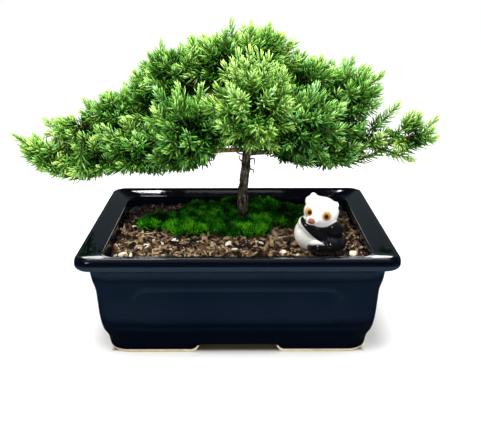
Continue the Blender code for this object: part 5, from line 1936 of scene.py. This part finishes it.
# Softboxes that show only in the glaze: name, middle, size and brightness
GLINTS = [
    ("rear_left_glint", (-0.25, 0.83, 1.36), (0.080, 0.13), 34),
    ("rear_left_corner_glint", (-0.37, 0.83, 1.36), (0.060, 0.13), 14),
    ("rear_middle_glint", (0.0, 0.83, 1.36), (0.300, 0.13), 1.0),
    ("rear_right_glint", (0.36, 0.83, 1.36), (0.110, 0.13), 34),
    ("top_left_glint", (-0.37, 0.12, 1.60), (0.170, 0.34), 24),
    ("top_middle_glint", (0.0, 0.12, 1.60), (0.460, 0.34), 3.0),
    ("top_right_glint", (0.44, 0.12, 1.60), (0.130, 0.34), 24),
    ("low_left_glint", (-0.15, 0.83, 0.17), (0.260, 0.11), 3.5),
    ("low_right_glint", (0.13, 0.83, 0.17), (0.090, 0.11), 11.0),
    ("low_outer_glint", (0.26, 0.83, 0.17), (0.110, 0.11), 5.0),
    ("front_glint", (-0.35, -0.70, 0.62), (0.12, 0.16), 22),
]


class BONSAI_OT_stage(bpy.types.Operator):
    """Set up the floor, the lights and the camera"""

    bl_idname = "bonsai.stage"
    bl_label = "Build Stage"

    def execute(self, context):
        props = context.scene.bonsai_stage
        context.scene.view_settings.view_transform = "Standard"
        build_floor(props)
        build_world(props)
        build_camera()
        key = add_light("key_softbox", (-0.05, -0.27, 0.88), (0.45, 0.45), 10.0)
        key.visible_glossy = False
        for name, spot, size, glow in GLINTS:
            add_reflection(name, spot, size, glow, (0.0, 0.07, 0.077))
        return {"FINISHED"}


class BONSAI_PT_panel(bpy.types.Panel):
    """The builders and their settings"""

    bl_label = "Potted Juniper Bonsai"
    bl_space_type = "VIEW_3D"
    bl_region_type = "UI"
    bl_category = "Bonsai"

    def draw(self, context):
        for operator in OPERATORS:
            self.layout.operator(operator.bl_idname)
        for name, group in PROPERTY_GROUPS.items():
            box = self.layout.box()
            box.label(text=name.replace("_", " "))
            for key in group.__annotations__:
                box.prop(getattr(context.scene, name), key)


OPERATORS = (
    BONSAI_OT_stage,
    BONSAI_OT_pot,
    BONSAI_OT_soil,
    BONSAI_OT_moss,
    BONSAI_OT_trunk,
    BONSAI_OT_foliage,
    BONSAI_OT_panda,
)
PROPERTY_GROUPS = {
    "bonsai_pot": BonsaiPotProps,
    "bonsai_ground": BonsaiGroundProps,
    "bonsai_tree": BonsaiTreeProps,
    "bonsai_panda": BonsaiPandaProps,
    "bonsai_stage": BonsaiStageProps,
}


def register():
    for name, group in PROPERTY_GROUPS.items():
        bpy.utils.register_class(group)
        setattr(bpy.types.Scene, name, bpy.props.PointerProperty(type=group))
    for operator in OPERATORS:
        bpy.utils.register_class(operator)
    bpy.utils.register_class(BONSAI_PT_panel)


def unregister():
    bpy.utils.unregister_class(BONSAI_PT_panel)
    for operator in reversed(OPERATORS):
        bpy.utils.unregister_class(operator)
    for name, group in PROPERTY_GROUPS.items():
        delattr(bpy.types.Scene, name)
        bpy.utils.unregister_class(group)


def main():
    register()
    bpy.ops.bonsai.stage()
    bpy.ops.bonsai.pot()
    bpy.ops.bonsai.soil()
    bpy.ops.bonsai.moss()
    bpy.ops.bonsai.trunk()
    bpy.ops.bonsai.foliage()
    bpy.ops.bonsai.panda()


if __name__ == "__main__":
    main()
